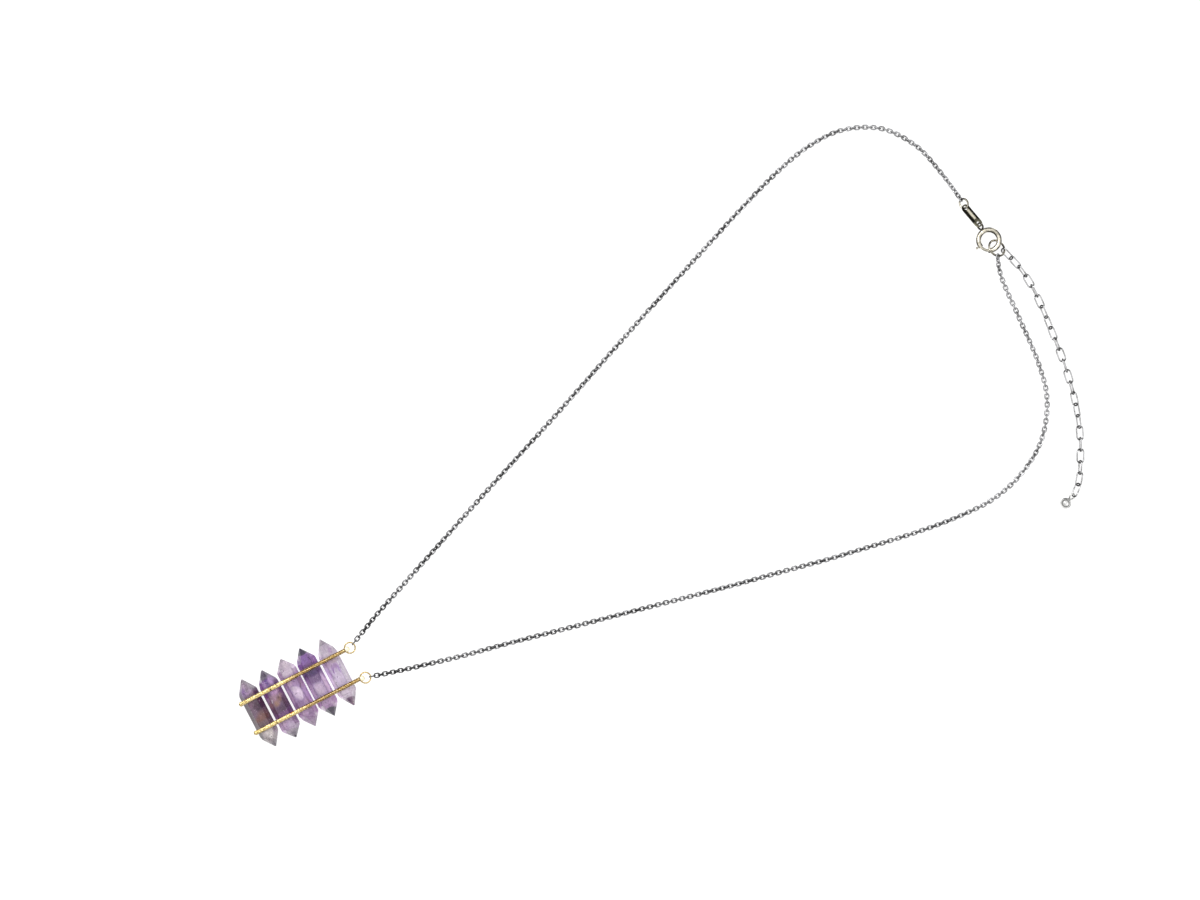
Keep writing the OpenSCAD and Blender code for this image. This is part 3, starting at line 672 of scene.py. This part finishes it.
def makeRimGroup():
    # Marks a ring's inner and outer edges, patchily, by the distance from the ring's axis, for a painted
    # dark reflection
    group, given, made = newGroup("ringRim", {
        "Position": "Vector", "Centre": "Vector", "Axis": "Vector", "Middle": "Float",
        "Half": "Float"}, {"Mask": "Float"})
    away = addVectors(group, "SUBTRACT", given["Position"], given["Centre"])
    side = addVectors(group, "CROSS_PRODUCT", away, given["Axis"])
    reach = addVectors(group, "LENGTH", side, result="Value")
    off = addMaths(group, "ABSOLUTE", addMaths(group, "SUBTRACT", reach, given["Middle"]))
    edge = addRamp(group, addMaths(group, "DIVIDE", off, given["Half"]), (0.35, 0.8), smooth=True)
    cover = addRamp(group, addNoise(group, given["Position"], 0.9, 3.0), (0.4, 0.52), (0.25, 1.0))
    group.links.new(addMaths(group, "MULTIPLY", edge, cover), made["Mask"])
    return group


metalTarnish = makeTarnishGroup()
ringRim = makeRimGroup()


def makeMetal(name, metal, rim=None, patches=()):
    # Silver with stains, painted shade where the "recess" attribute says so, and darker towards the pendant
    # where the metal asks for that. A rim is centre, axis, bend and half of the wire of a ring whose inner
    # and outer edges get a painted dark reflection. Patches are colour, place, half size, softness and
    # strength of painted dark spots. All in millimetres
    material, tree, shader = newMaterial(name, {"Metallic": 1.0})
    here = inMillimetres(tree)
    wear = useGroup(tree, metalTarnish, {
        "Colour": colour(metal["colour"]), "Stain": colour(metal["stain"]), "Position": here,
        "Scale": metal["stainScale"], "Cover": metal["stainCover"], "Shine": metal["shine"]})
    tone = wear.outputs["Colour"]
    along = addNode(tree, "SeparateXYZ", {"Vector": here}).outputs["Y"]
    # the chain is made darker along Y towards the pendant
    for start, end, share in metal.get("darkerTowardsPendant", ()):
        tone = layOn(tree, tone, metal["recess"], addRamp(tree, along, (start, end), (share, 0.0)))
    # painted shade where the "recess" mark says so
    hollow = markedBy(tree, "recess")
    # the painted shade of the recess mark fades towards the clasp's end, between two Y values
    if "recessShadeFade" in metal:
        start, end, share = metal["recessShadeFade"]
        hollow = addMaths(tree, "MULTIPLY", hollow, addRamp(tree, along, (start, end), (1.0, share)))
    tone = layOn(tree, tone, metal["recess"], hollow)
    # painted dark reflection along a ring's inner and outer edges
    if rim:
        edge = useGroup(tree, ringRim, dict(zip(("Centre", "Axis", "Middle", "Half"), rim), Position=here))
        tone = layOn(tree, tone, metal["recess"], edge.outputs["Mask"], 0.9)
    for code, centre, reach, softness, strength in patches:
        tone = layCloud(tree, tone, colour(code), here, centre, (reach, reach, reach), softness, strength)
    tree.links.new(tone, shader.inputs["Base Color"])
    tree.links.new(wear.outputs["Roughness"], shader.inputs["Roughness"])
    addRelief(tree, shader, wear.outputs["Height"], metal["relief"], 0.02)
    return material


chainMetal = {"colour": "#c4c4c6", "stain": "#5d5c5b", "recess": "#1d1d1f", "stainScale": 0.6,
              "stainCover": 0.7, "shine": 0.16, "relief": 0.2,
              "darkerTowardsPendant": ((20.0, 36.0, 0.4), (60.0, 150.0, 0.3)),
              "recessShadeFade": (140.0, 168.0, 0.45)}
extenderMetal = {"colour": "#cccccd", "stain": "#5d5c5a", "recess": "#161617", "stainScale": 0.8,
                 "stainCover": 0.6, "shine": 0.16, "relief": 0.2}
claspMetal = {"colour": "#ded8c8", "stain": "#54503f", "recess": "#141310", "stainScale": 0.9,
              "stainCover": 0.75, "shine": 0.13, "relief": 0.3}
dropMetal = {"colour": "#e0e0de", "stain": "#8a8a88", "recess": "#161616", "stainScale": 1.1,
             "stainCover": 0.6, "shine": 0.1, "relief": 0.15}
chainSilver = makeMetal("chainSilver", chainMetal)
linkSilver = makeMetal("linkSilver", extenderMetal)


# Links and rings

def makeLoop(length, width, wire, steps, sides, recess=(0.1, 0.7), bendDark=0.0):
    # An oval wire loop round the origin, long along X and flat in XY, marked for painted shade inside and,
    # by bendDark, at the bends
    bm = bmesh.new()
    dark = bm.verts.layers.float.new("recess")
    bend = (width - wire) / 2
    straight = length - width
    ring = bmesh.ops.create_circle(bm, segments=sides, radius=wire / 2, cap_ends=False)["verts"]
    edges = list({e for v in ring for e in v.link_edges})
    bmesh.ops.rotate(bm, verts=ring, cent=(0, 0, 0), matrix=Matrix.Rotation(radians(90), 3, "X"))
    bmesh.ops.translate(bm, verts=ring, vec=(bend, 0, 0))
    bmesh.ops.rotate(bm, verts=ring, cent=(0, 0, 0), matrix=Matrix.Rotation(pi / steps, 3, "Z"))
    bmesh.ops.spin(bm, geom=ring + edges, cent=(0, 0, 0), axis=(0, 0, 1), angle=2 * pi, steps=steps,
                   use_merge=True, use_duplicate=False)
    # the recess mark is painted shade, rising towards the inside of the wire and towards the bends
    for vert in bm.verts:
        inward = (bend + wire / 2 - vert.co.xy.length) / wire
        shade = recess[0] + (recess[1] - recess[0]) * inward + bendDark * abs(vert.co.x) / bend
        vert[dark] = min(1.0, shade)
        vert.co.x += straight / 2 if vert.co.x > 0 else -straight / 2
    bmesh.ops.remove_doubles(bm, verts=bm.verts, dist=0.0005 * mm)
    bmesh.ops.recalc_face_normals(bm, faces=bm.faces)
    mesh = bpy.data.meshes.new("loop")
    bm.to_mesh(mesh)
    bm.free()
    return mesh


def hangLoop(bm, loop, middle, ahead, roll):
    # A copy of a loop in place: its length along ahead, its flat side turned by roll
    across = Vector((0, 0, 1)).cross(ahead).normalized()
    up = ahead.cross(across)
    turned = Matrix((ahead, across, up)).transposed() @ Matrix.Rotation(roll, 3, "X")
    copy = loop.copy()
    copy.transform(Matrix.Translation(middle) @ turned.to_4x4())
    bm.from_mesh(copy)
    bpy.data.meshes.remove(copy)


def curvePoint(points, t):
    # The same smooth curve as in the part's source
    i = min(int(t), len(points) - 2)
    f = t - i
    a, b = points[max(i - 1, 0)], points[i]
    c, d = points[i + 1], points[min(i + 2, len(points) - 1)]
    return 0.5 * (2 * b + (c - a) * f + (2 * a - 5 * b + 4 * c - d) * f ** 2
                  + (3 * b - a - 3 * c + d) * f ** 3)


class Walk:
    # Places along a curve by the distance walked
    def __init__(self, points, fine=40):
        self.spots = [curvePoint(points, k / fine) for k in range(fine * (len(points) - 1) + 1)]
        self.run = [0.0]
        for near, far in zip(self.spots, self.spots[1:]):
            self.run.append(self.run[-1] + (far - near).length)
        self.length = self.run[-1]

    def at(self, distance):
        low, high = 0, len(self.run) - 1
        while high - low > 1:
            half = (low + high) // 2
            if self.run[half] <= distance:
                low = half
            else:
                high = half
        share = (distance - self.run[low]) / (self.run[high] - self.run[low])
        return self.spots[low].lerp(self.spots[high], share)

    def ahead(self, distance, reach=0.4 * mm):
        return (self.at(min(distance + reach, self.length)) - self.at(max(distance - reach, 0))).normalized()


# The fine chain. The routes are the part's own, X and Y in millimetres with the height as a
# share of the eye rings' height

chain = {
    "linkLength": 1.6,
    "linkWidth": 1.22,
    "wire": 0.33,
    "play": 0.034,
    "bendSteps": 12,
    "wireSides": 5,
    "flatRoll": -12.0,          # degrees that every other link leans
    "uprightRoll": 76.0,
    "rollPlay": 7.0,
    "rollDrift": 9.0,           # how far the whole strand rolls over and back
    "driftPace": 0.23,          # radians of that from link to link
    "tubeHeight": 0.6,          # the chain's middle above the table
    "barHeight": 4.295,
    "hookLength": 1.7,          # the fine connecting link at the eye ring
    "hookWidth": 1.05,
    "hookWire": 0.24,
    "hookSteps": 16,
    "hookSides": 6,
    "hookRoll": 84.0,
    "settlingLinks": (5, 8),    # links at each end that lie as the rings there make them
    "seed": 7,
}
upperRoute = [
    (-5.7, 19.6, 0.68), (-7.4, 23.5, 0.3), (-9.5, 29, 0.04), (-11.8, 35, 0), (-15.6, 45, 0),
    (-19.4, 55, 0), (-23.1, 65, 0), (-26.8, 75, 0), (-30.6, 85, 0), (-34.5, 95, 0), (-38.3, 105, 0),
    (-42, 115, 0), (-45.7, 125, 0), (-49.3, 135, 0), (-52.5, 145, 0), (-54.1, 153, 0), (-53.8, 161, 0),
    (-50.2, 168.6, 0), (-43.5, 173.5, 0), (-36, 175.6, 0)]
lowerRoute = [
    (5.3, 19.6, 0.68), (6.4, 23.5, 0.3), (7.8, 29, 0.04), (9.3, 35, 0), (11.5, 45, 0), (13.8, 55, 0),
    (16.1, 65, 0), (18.4, 75, 0), (20.7, 85, 0), (23, 95, 0), (25.1, 105, 0), (27.3, 115, 0),
    (29.2, 125, 0), (31, 135, 0), (32.2, 145, 0), (32.2, 153.5, 0), (30, 161.5, 0), (25.6, 168.4, 0),
    (18.5, 173.4, 0), (10.5, 175.4, 0), (0, 176.2, 0), (-7.5, 176.6, 0.02), (-11.4, 177.2, 0.12)]
rings = {
    "eyeWidth": 2.65, "eyeWire": 0.33, "eyeSteps": 48, "eyeSides": 10,
    "tagRingWidth": 2.52, "tagRingWire": 0.42, "tagRingLean": 35.0,
    "joiningWidth": 4.2, "joiningWire": 0.45, "joiningLean": 36.0, "joiningDirection": 17.0,
    "chainHookAngle": -45.0,
}


def liftRoute(route):
    low, high = chain["tubeHeight"], chain["barHeight"]
    return [Vector((x, y, low + share * (high - low))) * mm for x, y, share in route]


def boxMiddle(node):
    low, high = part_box(node)
    return (low + high) / 2


def eyeCentre(node):
    low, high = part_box(node)
    return Vector(((low.x + high.x) / 2, high.y - rings["eyeWidth"] / 2 * mm, chain["barHeight"] * mm))


def joiningHook():
    # The point on the joining ring where the lower chain hangs
    bend = (rings["joiningWidth"] - rings["joiningWire"]) / 2 * mm
    angle = radians(rings["chainHookAngle"])
    turn = (Matrix.Rotation(radians(rings["joiningDirection"]), 3, "Z")
            @ Matrix.Rotation(radians(-rings["joiningLean"]), 3, "X"))
    return boxMiddle("joining_ring") + turn @ Vector((cos(angle), sin(angle), 0)) * bend


def layStrand(name, eye, route, end, startGap, endGap, endRoll):
    # Links from an eye ring to the clasp's end, each through the next
    walk = Walk([eye] + liftRoute(route) + [end])
    bm = bmesh.new()
    bm.verts.layers.float.new("recess")
    size = {key: chain[key] * mm for key in ("linkLength", "linkWidth", "wire", "play", "hookLength",
                                             "hookWidth", "hookWire")}
    # painted shade: the links that stand on edge are marked far darker than the flat ones, and the hook link
    # darker inside
    flatLoop = makeLoop(size["linkLength"], size["linkWidth"], size["wire"], chain["bendSteps"],
                        chain["wireSides"], (0.0, 0.5), 0.35)
    edgeLoop = makeLoop(size["linkLength"], size["linkWidth"], size["wire"], chain["bendSteps"],
                        chain["wireSides"], (0.45, 1.0), 0.3)
    hookLoop = makeLoop(size["hookLength"], size["hookWidth"], size["hookWire"], chain["hookSteps"],
                        chain["hookSides"], (0.3, 0.8))
    # the hook's near bend lies inside the eye ring, and its far bend holds the first link
    hookMiddle = startGap + size["hookLength"] / 2 - size["hookWire"]
    hangLoop(bm, hookLoop, walk.at(hookMiddle), walk.ahead(hookMiddle), radians(chain["hookRoll"]))
    first = (startGap + size["hookLength"] - 2 * size["hookWire"] - size["wire"] - size["play"]
             + size["linkLength"] / 2)
    last = walk.length - endGap - size["linkLength"] / 2 + size["wire"]
    wanted = size["linkLength"] - 2 * size["wire"] - size["play"]
    count = round((last - first) / wanted)
    count += count % 2          # an odd number of links, so both ends lie flat
    pitch = (last - first) / count
    chance = random.Random(chain["seed"] + len(route))
    phase = chance.uniform(0, 2 * pi)
    settlingFirst, settlingLast = chain["settlingLinks"]
    for i in range(count + 1):
        distance = first + i * pitch
        upright = i % 2 == 1
        late = max(0.0, 1 - (count - i) / settlingLast)
        free = min(1.0, i / settlingFirst) * (1 - late)
        drift = chain["rollDrift"] * sin(chain["driftPace"] * i + phase)
        roll = (chain["flatRoll"] + drift) * free + endRoll * late
        if upright:
            roll += chain["uprightRoll"] - chain["flatRoll"]
        roll += chance.uniform(-1, 1) * chain["rollPlay"] * (1 - late)
        hangLoop(bm, edgeLoop if upright else flatLoop, walk.at(distance), walk.ahead(distance),
                 radians(roll))
    for loop in (flatLoop, edgeLoop, hookLoop):
        bpy.data.meshes.remove(loop)
    print(name, "links:", count + 1, "pitch", round(pitch / mm, 3), "mm")
    finishPiece(bm, name + "_links", chainSilver, "chain_silver", replaced=[name])


eyeInside = (rings["eyeWidth"] / 2 - rings["eyeWire"]) * mm
tagInside = (rings["tagRingWidth"] / 2 - rings["tagRingWire"]) * mm
hookPoint = joiningHook()
layStrand("upper_chain", eyeCentre("upper_bar"), upperRoute, boxMiddle("tag_ring"),
          eyeInside - 0.07 * mm, tagInside - 0.05 * mm, -55)
layStrand("lower_chain", eyeCentre("lower_bar"), lowerRoute, hookPoint,
          eyeInside - 0.07 * mm, -(rings["joiningWire"] / 2 + 0.05) * mm, 40)


# The bars: twisted square wire, pressed flat and pricked all over towards the free end. Marks
# are colour, place, half sizes across and along, softness and strength

bar = {
    "spacing": 7.0,
    "width": 0.95,
    "ridges": 4,
    "grooveDepth": 0.13,        # share of the radius
    "twistLength": 2.1,         # millimetres for a whole turn of the wire
    "stepsPerTurn": 32,
    "wireSides": 16,
    "pressedShare": 0.4,        # share of the bar that is pressed
    "pressedBlend": 0.12,
    "pressedSquareness": 4.0,
    "pressedHeight": 0.72,      # share of the width
    "knobWidth": 1.12,
    "knobShape": (0.95, 0.85, 0.62),
    "knobLumps": 0.07,
    "solderShape": (1.25, 1.3, 0.66),      # millimetres
    "solderLumps": 0.05,
    "solderPlace": 0.45,        # millimetres from the bar's end into the eye ring
    "solderLean": 0.35,         # share of the eye ring's offset that the solder follows
    "seed": 3,
}
goldMetal = {
    "pale": "#cbb475", "rope": "#b5935a", "paintedGlint": "#e8d4a2", "groove": "#54401a", "solder": "#faefd0",
    "pit": "#5e4a24", "grime": "#7a5a26", "roughness": (0.2, 0.4),
}
goldMarks = [
    ("#a8561c", 3.05, -3.05, 0.25, 0.5, 0.5, 0.95), ("#4a3a1c", 3.5, -6.85, 0.6, 0.12, 0.5, 0.9),
    ("#4a3a1c", -3.4, -4.85, 0.35, 0.16, 0.5, 0.9), ("#5a4626", -3.7, -3.3, 0.3, 0.14, 0.5, 0.8)]


def makeGold():
    material, tree, shader = newMaterial("cutGold", {})
    here = inMillimetres(tree)
    pressed, recess, solder = [markedBy(tree, name) for name in ("pressed", "recess", "solder")]
    tone = addBlend(tree, pressed, colour(goldMetal["rope"]), colour(goldMetal["pale"]))
    cover = addRamp(tree, addNoise(tree, here, 1.3, 5.0, 0.65), (0.5, 0.66), (0.0, 0.5))
    tone = layOn(tree, tone, goldMetal["grime"], cover)
    # painted highlights: pale glints set by this noise, which also sets the roughness
    blobs = addNoise(tree, here, 3.4, 2.0)
    tone = layOn(tree, tone, goldMetal["paintedGlint"], addRamp(tree, blobs, (0.5, 0.58), (0.0, 0.8)))
    # painted shade in the grooves of the twisted wire and on the inner side of the eye rings
    tone = layOn(tree, tone, goldMetal["groove"], recess, 0.75)
    pits = addNode(tree, "TexVoronoi", {"Vector": here, "Scale": 3.6}).outputs["Distance"]
    pitted = addMaths(tree, "MULTIPLY", addRamp(tree, pits, (0.16, 0.3), (0.6, 0.0)), pressed)
    tone = layOn(tree, tone, goldMetal["pit"], pitted)
    for code, x, y, wide, long, softness, strength in goldMarks:
        tone = layCloud(tree, tone, colour(code), here, (x, y, 0), (wide, long, 1000), softness, strength)
    # painted highlight on the soldered lump: near-white and less metallic
    tone = layOn(tree, tone, goldMetal["solder"], solder)
    tree.links.new(tone, shader.inputs["Base Color"])
    tree.links.new(addRamp(tree, solder, (0.0, 1.0), (1.0, 0.4)), shader.inputs["Metallic"])
    tree.links.new(addRamp(tree, blobs, (0.3, 0.7), goldMetal["roughness"]), shader.inputs["Roughness"])
    addRelief(tree, shader, addMaths(tree, "MULTIPLY", pits, pressed), 0.5, 0.1)
    return material


cutGold = makeGold()


def squash(bm, middle, shape, lumps, chance):
    # A ball pressed and lumped, round a point
    ball = bmesh.ops.create_icosphere(bm, subdivisions=3, radius=mm / 2)["verts"]
    for vert in ball:
        vert.co *= 1 + chance.uniform(-lumps, lumps)
    bmesh.ops.smooth_vert(bm, verts=ball, factor=0.5, use_axis_x=True, use_axis_y=True, use_axis_z=True)
    bmesh.ops.scale(bm, verts=ball, vec=shape)
    bmesh.ops.translate(bm, verts=ball, vec=middle)
    return ball


def twistBar(node, side):
    low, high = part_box(node)
    x = side * bar["spacing"] / 2 * mm
    z = chain["barHeight"] * mm
    start = low.y + bar["knobWidth"] / 2 * mm
    end = high.y - rings["eyeWidth"] * mm + rings["eyeWire"] / 2 * mm
    radius = bar["width"] / 2 * mm
    chance = random.Random(bar["seed"] + side)
    bm = bmesh.new()
    recess, pressed, solder = [bm.verts.layers.float.new(name) for name in ("recess", "pressed", "solder")]
    profile = bmesh.ops.create_circle(bm, segments=bar["wireSides"], radius=radius, cap_ends=False)["verts"]
    for vert in profile:
        vert[recess] = 0.5 - 0.5 * cos(bar["ridges"] * atan2(vert.co.y, vert.co.x))
        vert.co *= 1 - bar["grooveDepth"] * vert[recess]
    bmesh.ops.rotate(bm, verts=bm.verts, cent=(0, 0, 0), matrix=Matrix.Rotation(radians(90), 3, "X"))
    bmesh.ops.translate(bm, verts=bm.verts, vec=(x, start, z))
    turns = (end - start) / (bar["twistLength"] * mm)
    steps = ceil(turns * bar["stepsPerTurn"])
    bmesh.ops.spin(bm, geom=bm.verts[:] + bm.edges[:], cent=(x, 0, z), axis=(0, 1, 0),
                   dvec=(0, (end - start) / steps, 0), angle=2 * pi * turns, steps=steps,
                   use_merge=False, use_duplicate=False)
    bmesh.ops.holes_fill(bm, edges=[e for e in bm.edges if e.is_boundary], sides=0)
    power = bar["pressedSquareness"]
    for vert in bm.verts:
        share = (vert.co.y - start) / (end - start)
        flat = 1 - min(1.0, max(0.0, (share - bar["pressedShare"]) / bar["pressedBlend"]))
        around = atan2(vert.co.z - z, vert.co.x - x)
        reach = ((vert.co.z - z) ** 2 + (vert.co.x - x) ** 2) ** 0.5
        square = radius * (abs(cos(around)) ** power + abs(sin(around)) ** power) ** (-1 / power)
        reach += (square - reach) * flat
        vert.co.x = x + reach * cos(around)
        vert.co.z = z + reach * sin(around) * (1 + (bar["pressedHeight"] - 1) * flat)
        vert[recess] *= 1 - flat
        vert[pressed] = flat
    for vert in squash(bm, (x, start, z), [bar["knobWidth"] * s for s in bar["knobShape"]],
                       bar["knobLumps"], chance):
        vert[pressed] = 1.0
    eye = eyeCentre(node)
    lean = (eye.x - x) * bar["solderLean"]
    for vert in squash(bm, (x + lean, end + bar["solderPlace"] * mm, z), bar["solderShape"],
                       bar["solderLumps"], chance):
        vert[solder] = 1.0
    eyeLoop = makeLoop(rings["eyeWidth"] * mm, rings["eyeWidth"] * mm, rings["eyeWire"] * mm,
                       rings["eyeSteps"], rings["eyeSides"], (0.0, 0.35))
    ringStart = len(bm.verts)
    hangLoop(bm, eyeLoop, eye, Vector((1, 0, 0)), 0)
    bm.verts.ensure_lookup_table()
    for vert in bm.verts[ringStart:]:
        vert[pressed] = 0.7
    bpy.data.meshes.remove(eyeLoop)
    finishPiece(bm, node + "_twist", cutGold, "gold", replaced=[node])


twistBar("upper_bar", -1)
twistBar("lower_bar", 1)


# Clasp, rings, tag, extender and drop. The extender and the tag are copies of the CAD shapes,
# and the others are those shapes themselves

def shellsOf(bm):
    # The separate closed shells of a mesh
    left = set(bm.verts)
    while left:
        shell, edge = set(), [left.pop()]
        while edge:
            vert = edge.pop()
            shell.add(vert)
            for near in (e.other_vert(vert) for e in vert.link_edges):
                if near in left:
                    left.remove(near)
                    edge.append(near)
        yield list(shell)


def copyNode(node):
    bm = bmesh.new()
    bm.from_mesh(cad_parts[node].data)
    bmesh.ops.remove_doubles(bm, verts=bm.verts, dist=0.0005 * mm)
    return bm


def smoothStep(value, low, high):
    share = min(1.0, max(0.0, (value - low) / (high - low)))
    return share * share * (3 - 2 * share)


def dressExtender():
    # Painted shade: each link is darkest at its ends, where the next one passes through it
    bm = copyNode("extender_chain")
    recess = bm.verts.layers.float.new("recess")
    for shell in shellsOf(bm):
        middle = sum((vert.co for vert in shell), Vector()) / len(shell)
        tip = max(shell, key=lambda vert: (vert.co - middle).length).co - middle
        for vert in shell:
            along = abs((vert.co - middle).dot(tip)) / tip.length_squared
            vert[recess] = 0.8 * smoothStep(along, 0.55, 0.85)
    finishPiece(bm, "extender_links", linkSilver, "chain_silver", replaced=["extender_chain"])


def leaning(direction, lean):
    # The axis of a ring that is turned and then leans over its own X axis, in degrees
    return (Matrix.Rotation(radians(direction), 3, "Z") @ Matrix.Rotation(radians(lean), 3, "X")
            @ Vector((0, 0, 1)))


def ringOf(node, direction, lean, width, wire):
    return boxMiddle(node) / mm, leaning(direction, lean), (width - wire) / 2, wire / 2


clasp = {
    "centre": (-18.0, 178.1, 1.11), "axis": (-0.06671, -0.0204, 0.99756), "width": 5.6, "tube": 1.1,
    "tagRingDirection": -7.0,
    "plateTurn": (-35.0, 0.0, 12.9),
    "plateBody": "#8f8b78", "plateStain": "#3a382e",
    "plateDarkReflection": "#12110e", "plateHighlight": "#efe8d2", "plateEnd": "#8b8873",
    "plateSoftening": 0.07,     # millimetres taken off the plate's edges
    "dropCentre": (40.2, 166.4, 1.25),
}


def makePlateSilver():
    # Painted dark reflection along the long edges, a pale painted highlight down the middle, and an
    # olive-grey end at the clasp
    material, tree, shader = newMaterial("plateSilver", {})
    place = addNode(tree, "TexCoord")
    turn = [radians(angle) for angle in clasp["plateTurn"]]
    here = addNode(tree, "Mapping", {
        "Vector": place.outputs["Object"], "Location": boxMiddle("tag_plate"), "Rotation": turn,
        "Scale": (mm, mm, mm)}, vector_type="TEXTURE").outputs["Vector"]
    wear = useGroup(tree, metalTarnish, {
        "Colour": colour(clasp["plateBody"]), "Stain": colour(clasp["plateStain"]), "Position": here,
        "Scale": 1.2, "Cover": 0.7, "Shine": 0.2})
    ragged = useGroup(tree, stoneWarp, {"Position": here, "Seed": 3.0, "Scale": 1.6, "Amount": 0.35})
    parts = addNode(tree, "SeparateXYZ", {"Vector": ragged.outputs["Position"]})
    along = parts.outputs["X"]
    off = addMaths(tree, "ABSOLUTE", parts.outputs["Y"])
    far = addMaths(tree, "ABSOLUTE", addMaths(tree, "ADD", along, 0.35))
    tone = layOn(tree, wear.outputs["Colour"], clasp["plateEnd"],
                 addRamp(tree, along, (1.0, 1.6), smooth=True), 0.8)
    inner = addMaths(tree, "SUBTRACT", 1.0, addRamp(tree, along, (1.2, 1.8), smooth=True))
    # painted dark reflection, black, along the long edges, left off at the clasp end
    edge = addMaths(tree, "MULTIPLY", addRamp(tree, off, (0.35, 0.6), smooth=True), inner)
    tone = layOn(tree, tone, clasp["plateDarkReflection"], edge, 0.95)
    # painted highlight: a pale, less metallic band down the middle
    highlightWidth = addMaths(tree, "SUBTRACT", 1.0, addRamp(tree, off, (0.18, 0.42), smooth=True))
    highlightLength = addMaths(tree, "SUBTRACT", 1.0, addRamp(tree, far, (1.1, 1.5), smooth=True))
    highlight = addMaths(tree, "MULTIPLY", highlightWidth, highlightLength)
    tone = layOn(tree, tone, clasp["plateHighlight"], highlight, 0.9)
    tree.links.new(tone, shader.inputs["Base Color"])
    tree.links.new(addRamp(tree, highlight, (0.0, 1.0), (1.0, 0.3)), shader.inputs["Metallic"])
    tree.links.new(wear.outputs["Roughness"], shader.inputs["Roughness"])
    addRelief(tree, shader, wear.outputs["Height"], 0.4, 0.02)
    return material


def dress(node, material):
    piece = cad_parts[node]
    piece.data.materials.clear()
    piece.data.materials.append(material)


def softenPlate():
    # The plate with its edges rounded a little
    bm = copyNode("tag_plate")
    bmesh.ops.dissolve_limit(bm, angle_limit=radians(1), verts=bm.verts, edges=bm.edges)
    sharp = [edge for edge in bm.edges if edge.calc_face_angle(0) > radians(50)]
    bmesh.ops.bevel(bm, geom=sharp, offset=clasp["plateSoftening"] * mm, offset_type="OFFSET",
                    segments=2, profile=0.5, affect="EDGES", material=-1, clamp_overlap=True)
    finishPiece(bm, "tag_softened", makePlateSilver(), "clasp_silver", replaced=["tag_plate"],
                smooth=False)


dressExtender()
softenPlate()
# the clasp's ring and trigger get a painted dark reflection along the ring's inner and outer edges
claspBody = makeMetal("claspBody", claspMetal, (
    clasp["centre"], clasp["axis"], (clasp["width"] - clasp["tube"]) / 2, clasp["tube"] / 2))
dress("clasp_ring", claspBody)
dress("clasp_trigger", claspBody)
tagCentre = boxMiddle("tag_ring") / mm
tagRing = ringOf("tag_ring", clasp["tagRingDirection"], rings["tagRingLean"], rings["tagRingWidth"],
                 rings["tagRingWire"])
# painted dark reflection along the tag ring's edges, and a dark spot of painted shade on it
dress("tag_ring", makeMetal("tagRingSilver", claspMetal, tagRing, (
    ("#1c1b17", tagCentre + Vector((-0.9, 0.2, 0)), 0.7, 0.4, 0.8),)))
joiningCentre = boxMiddle("joining_ring") / mm
joiningRing = ringOf("joining_ring", rings["joiningDirection"], -rings["joiningLean"],
                     rings["joiningWidth"], rings["joiningWire"])
# painted dark reflection along the joining ring's edges, and two spots of painted shade, one where the lower
# chain hangs
dress("joining_ring", makeMetal("joiningSilver", claspMetal, joiningRing, (
    ("#1c1b17", hookPoint / mm, 0.8, 0.4, 0.85),
    ("#1c1b17", joiningCentre + Vector((0.6, 1.6, -0.9)), 0.9, 0.4, 0.8))))
ball = Vector(clasp["dropCentre"])
# two patches of painted dark reflection on the ball's rim, towards the picture's top and right
dress("end_drop", makeMetal("dropSilver", dropMetal, None, (
    ("#161615", ball + (pictureUp + 0.1 * pictureRight) * 1.3, 0.8, 0.35, 0.95),
    ("#161615", ball + (0.95 * pictureRight - 0.5 * pictureUp) * 1.2, 0.6, 0.35, 0.95))))
print("metal dressed")
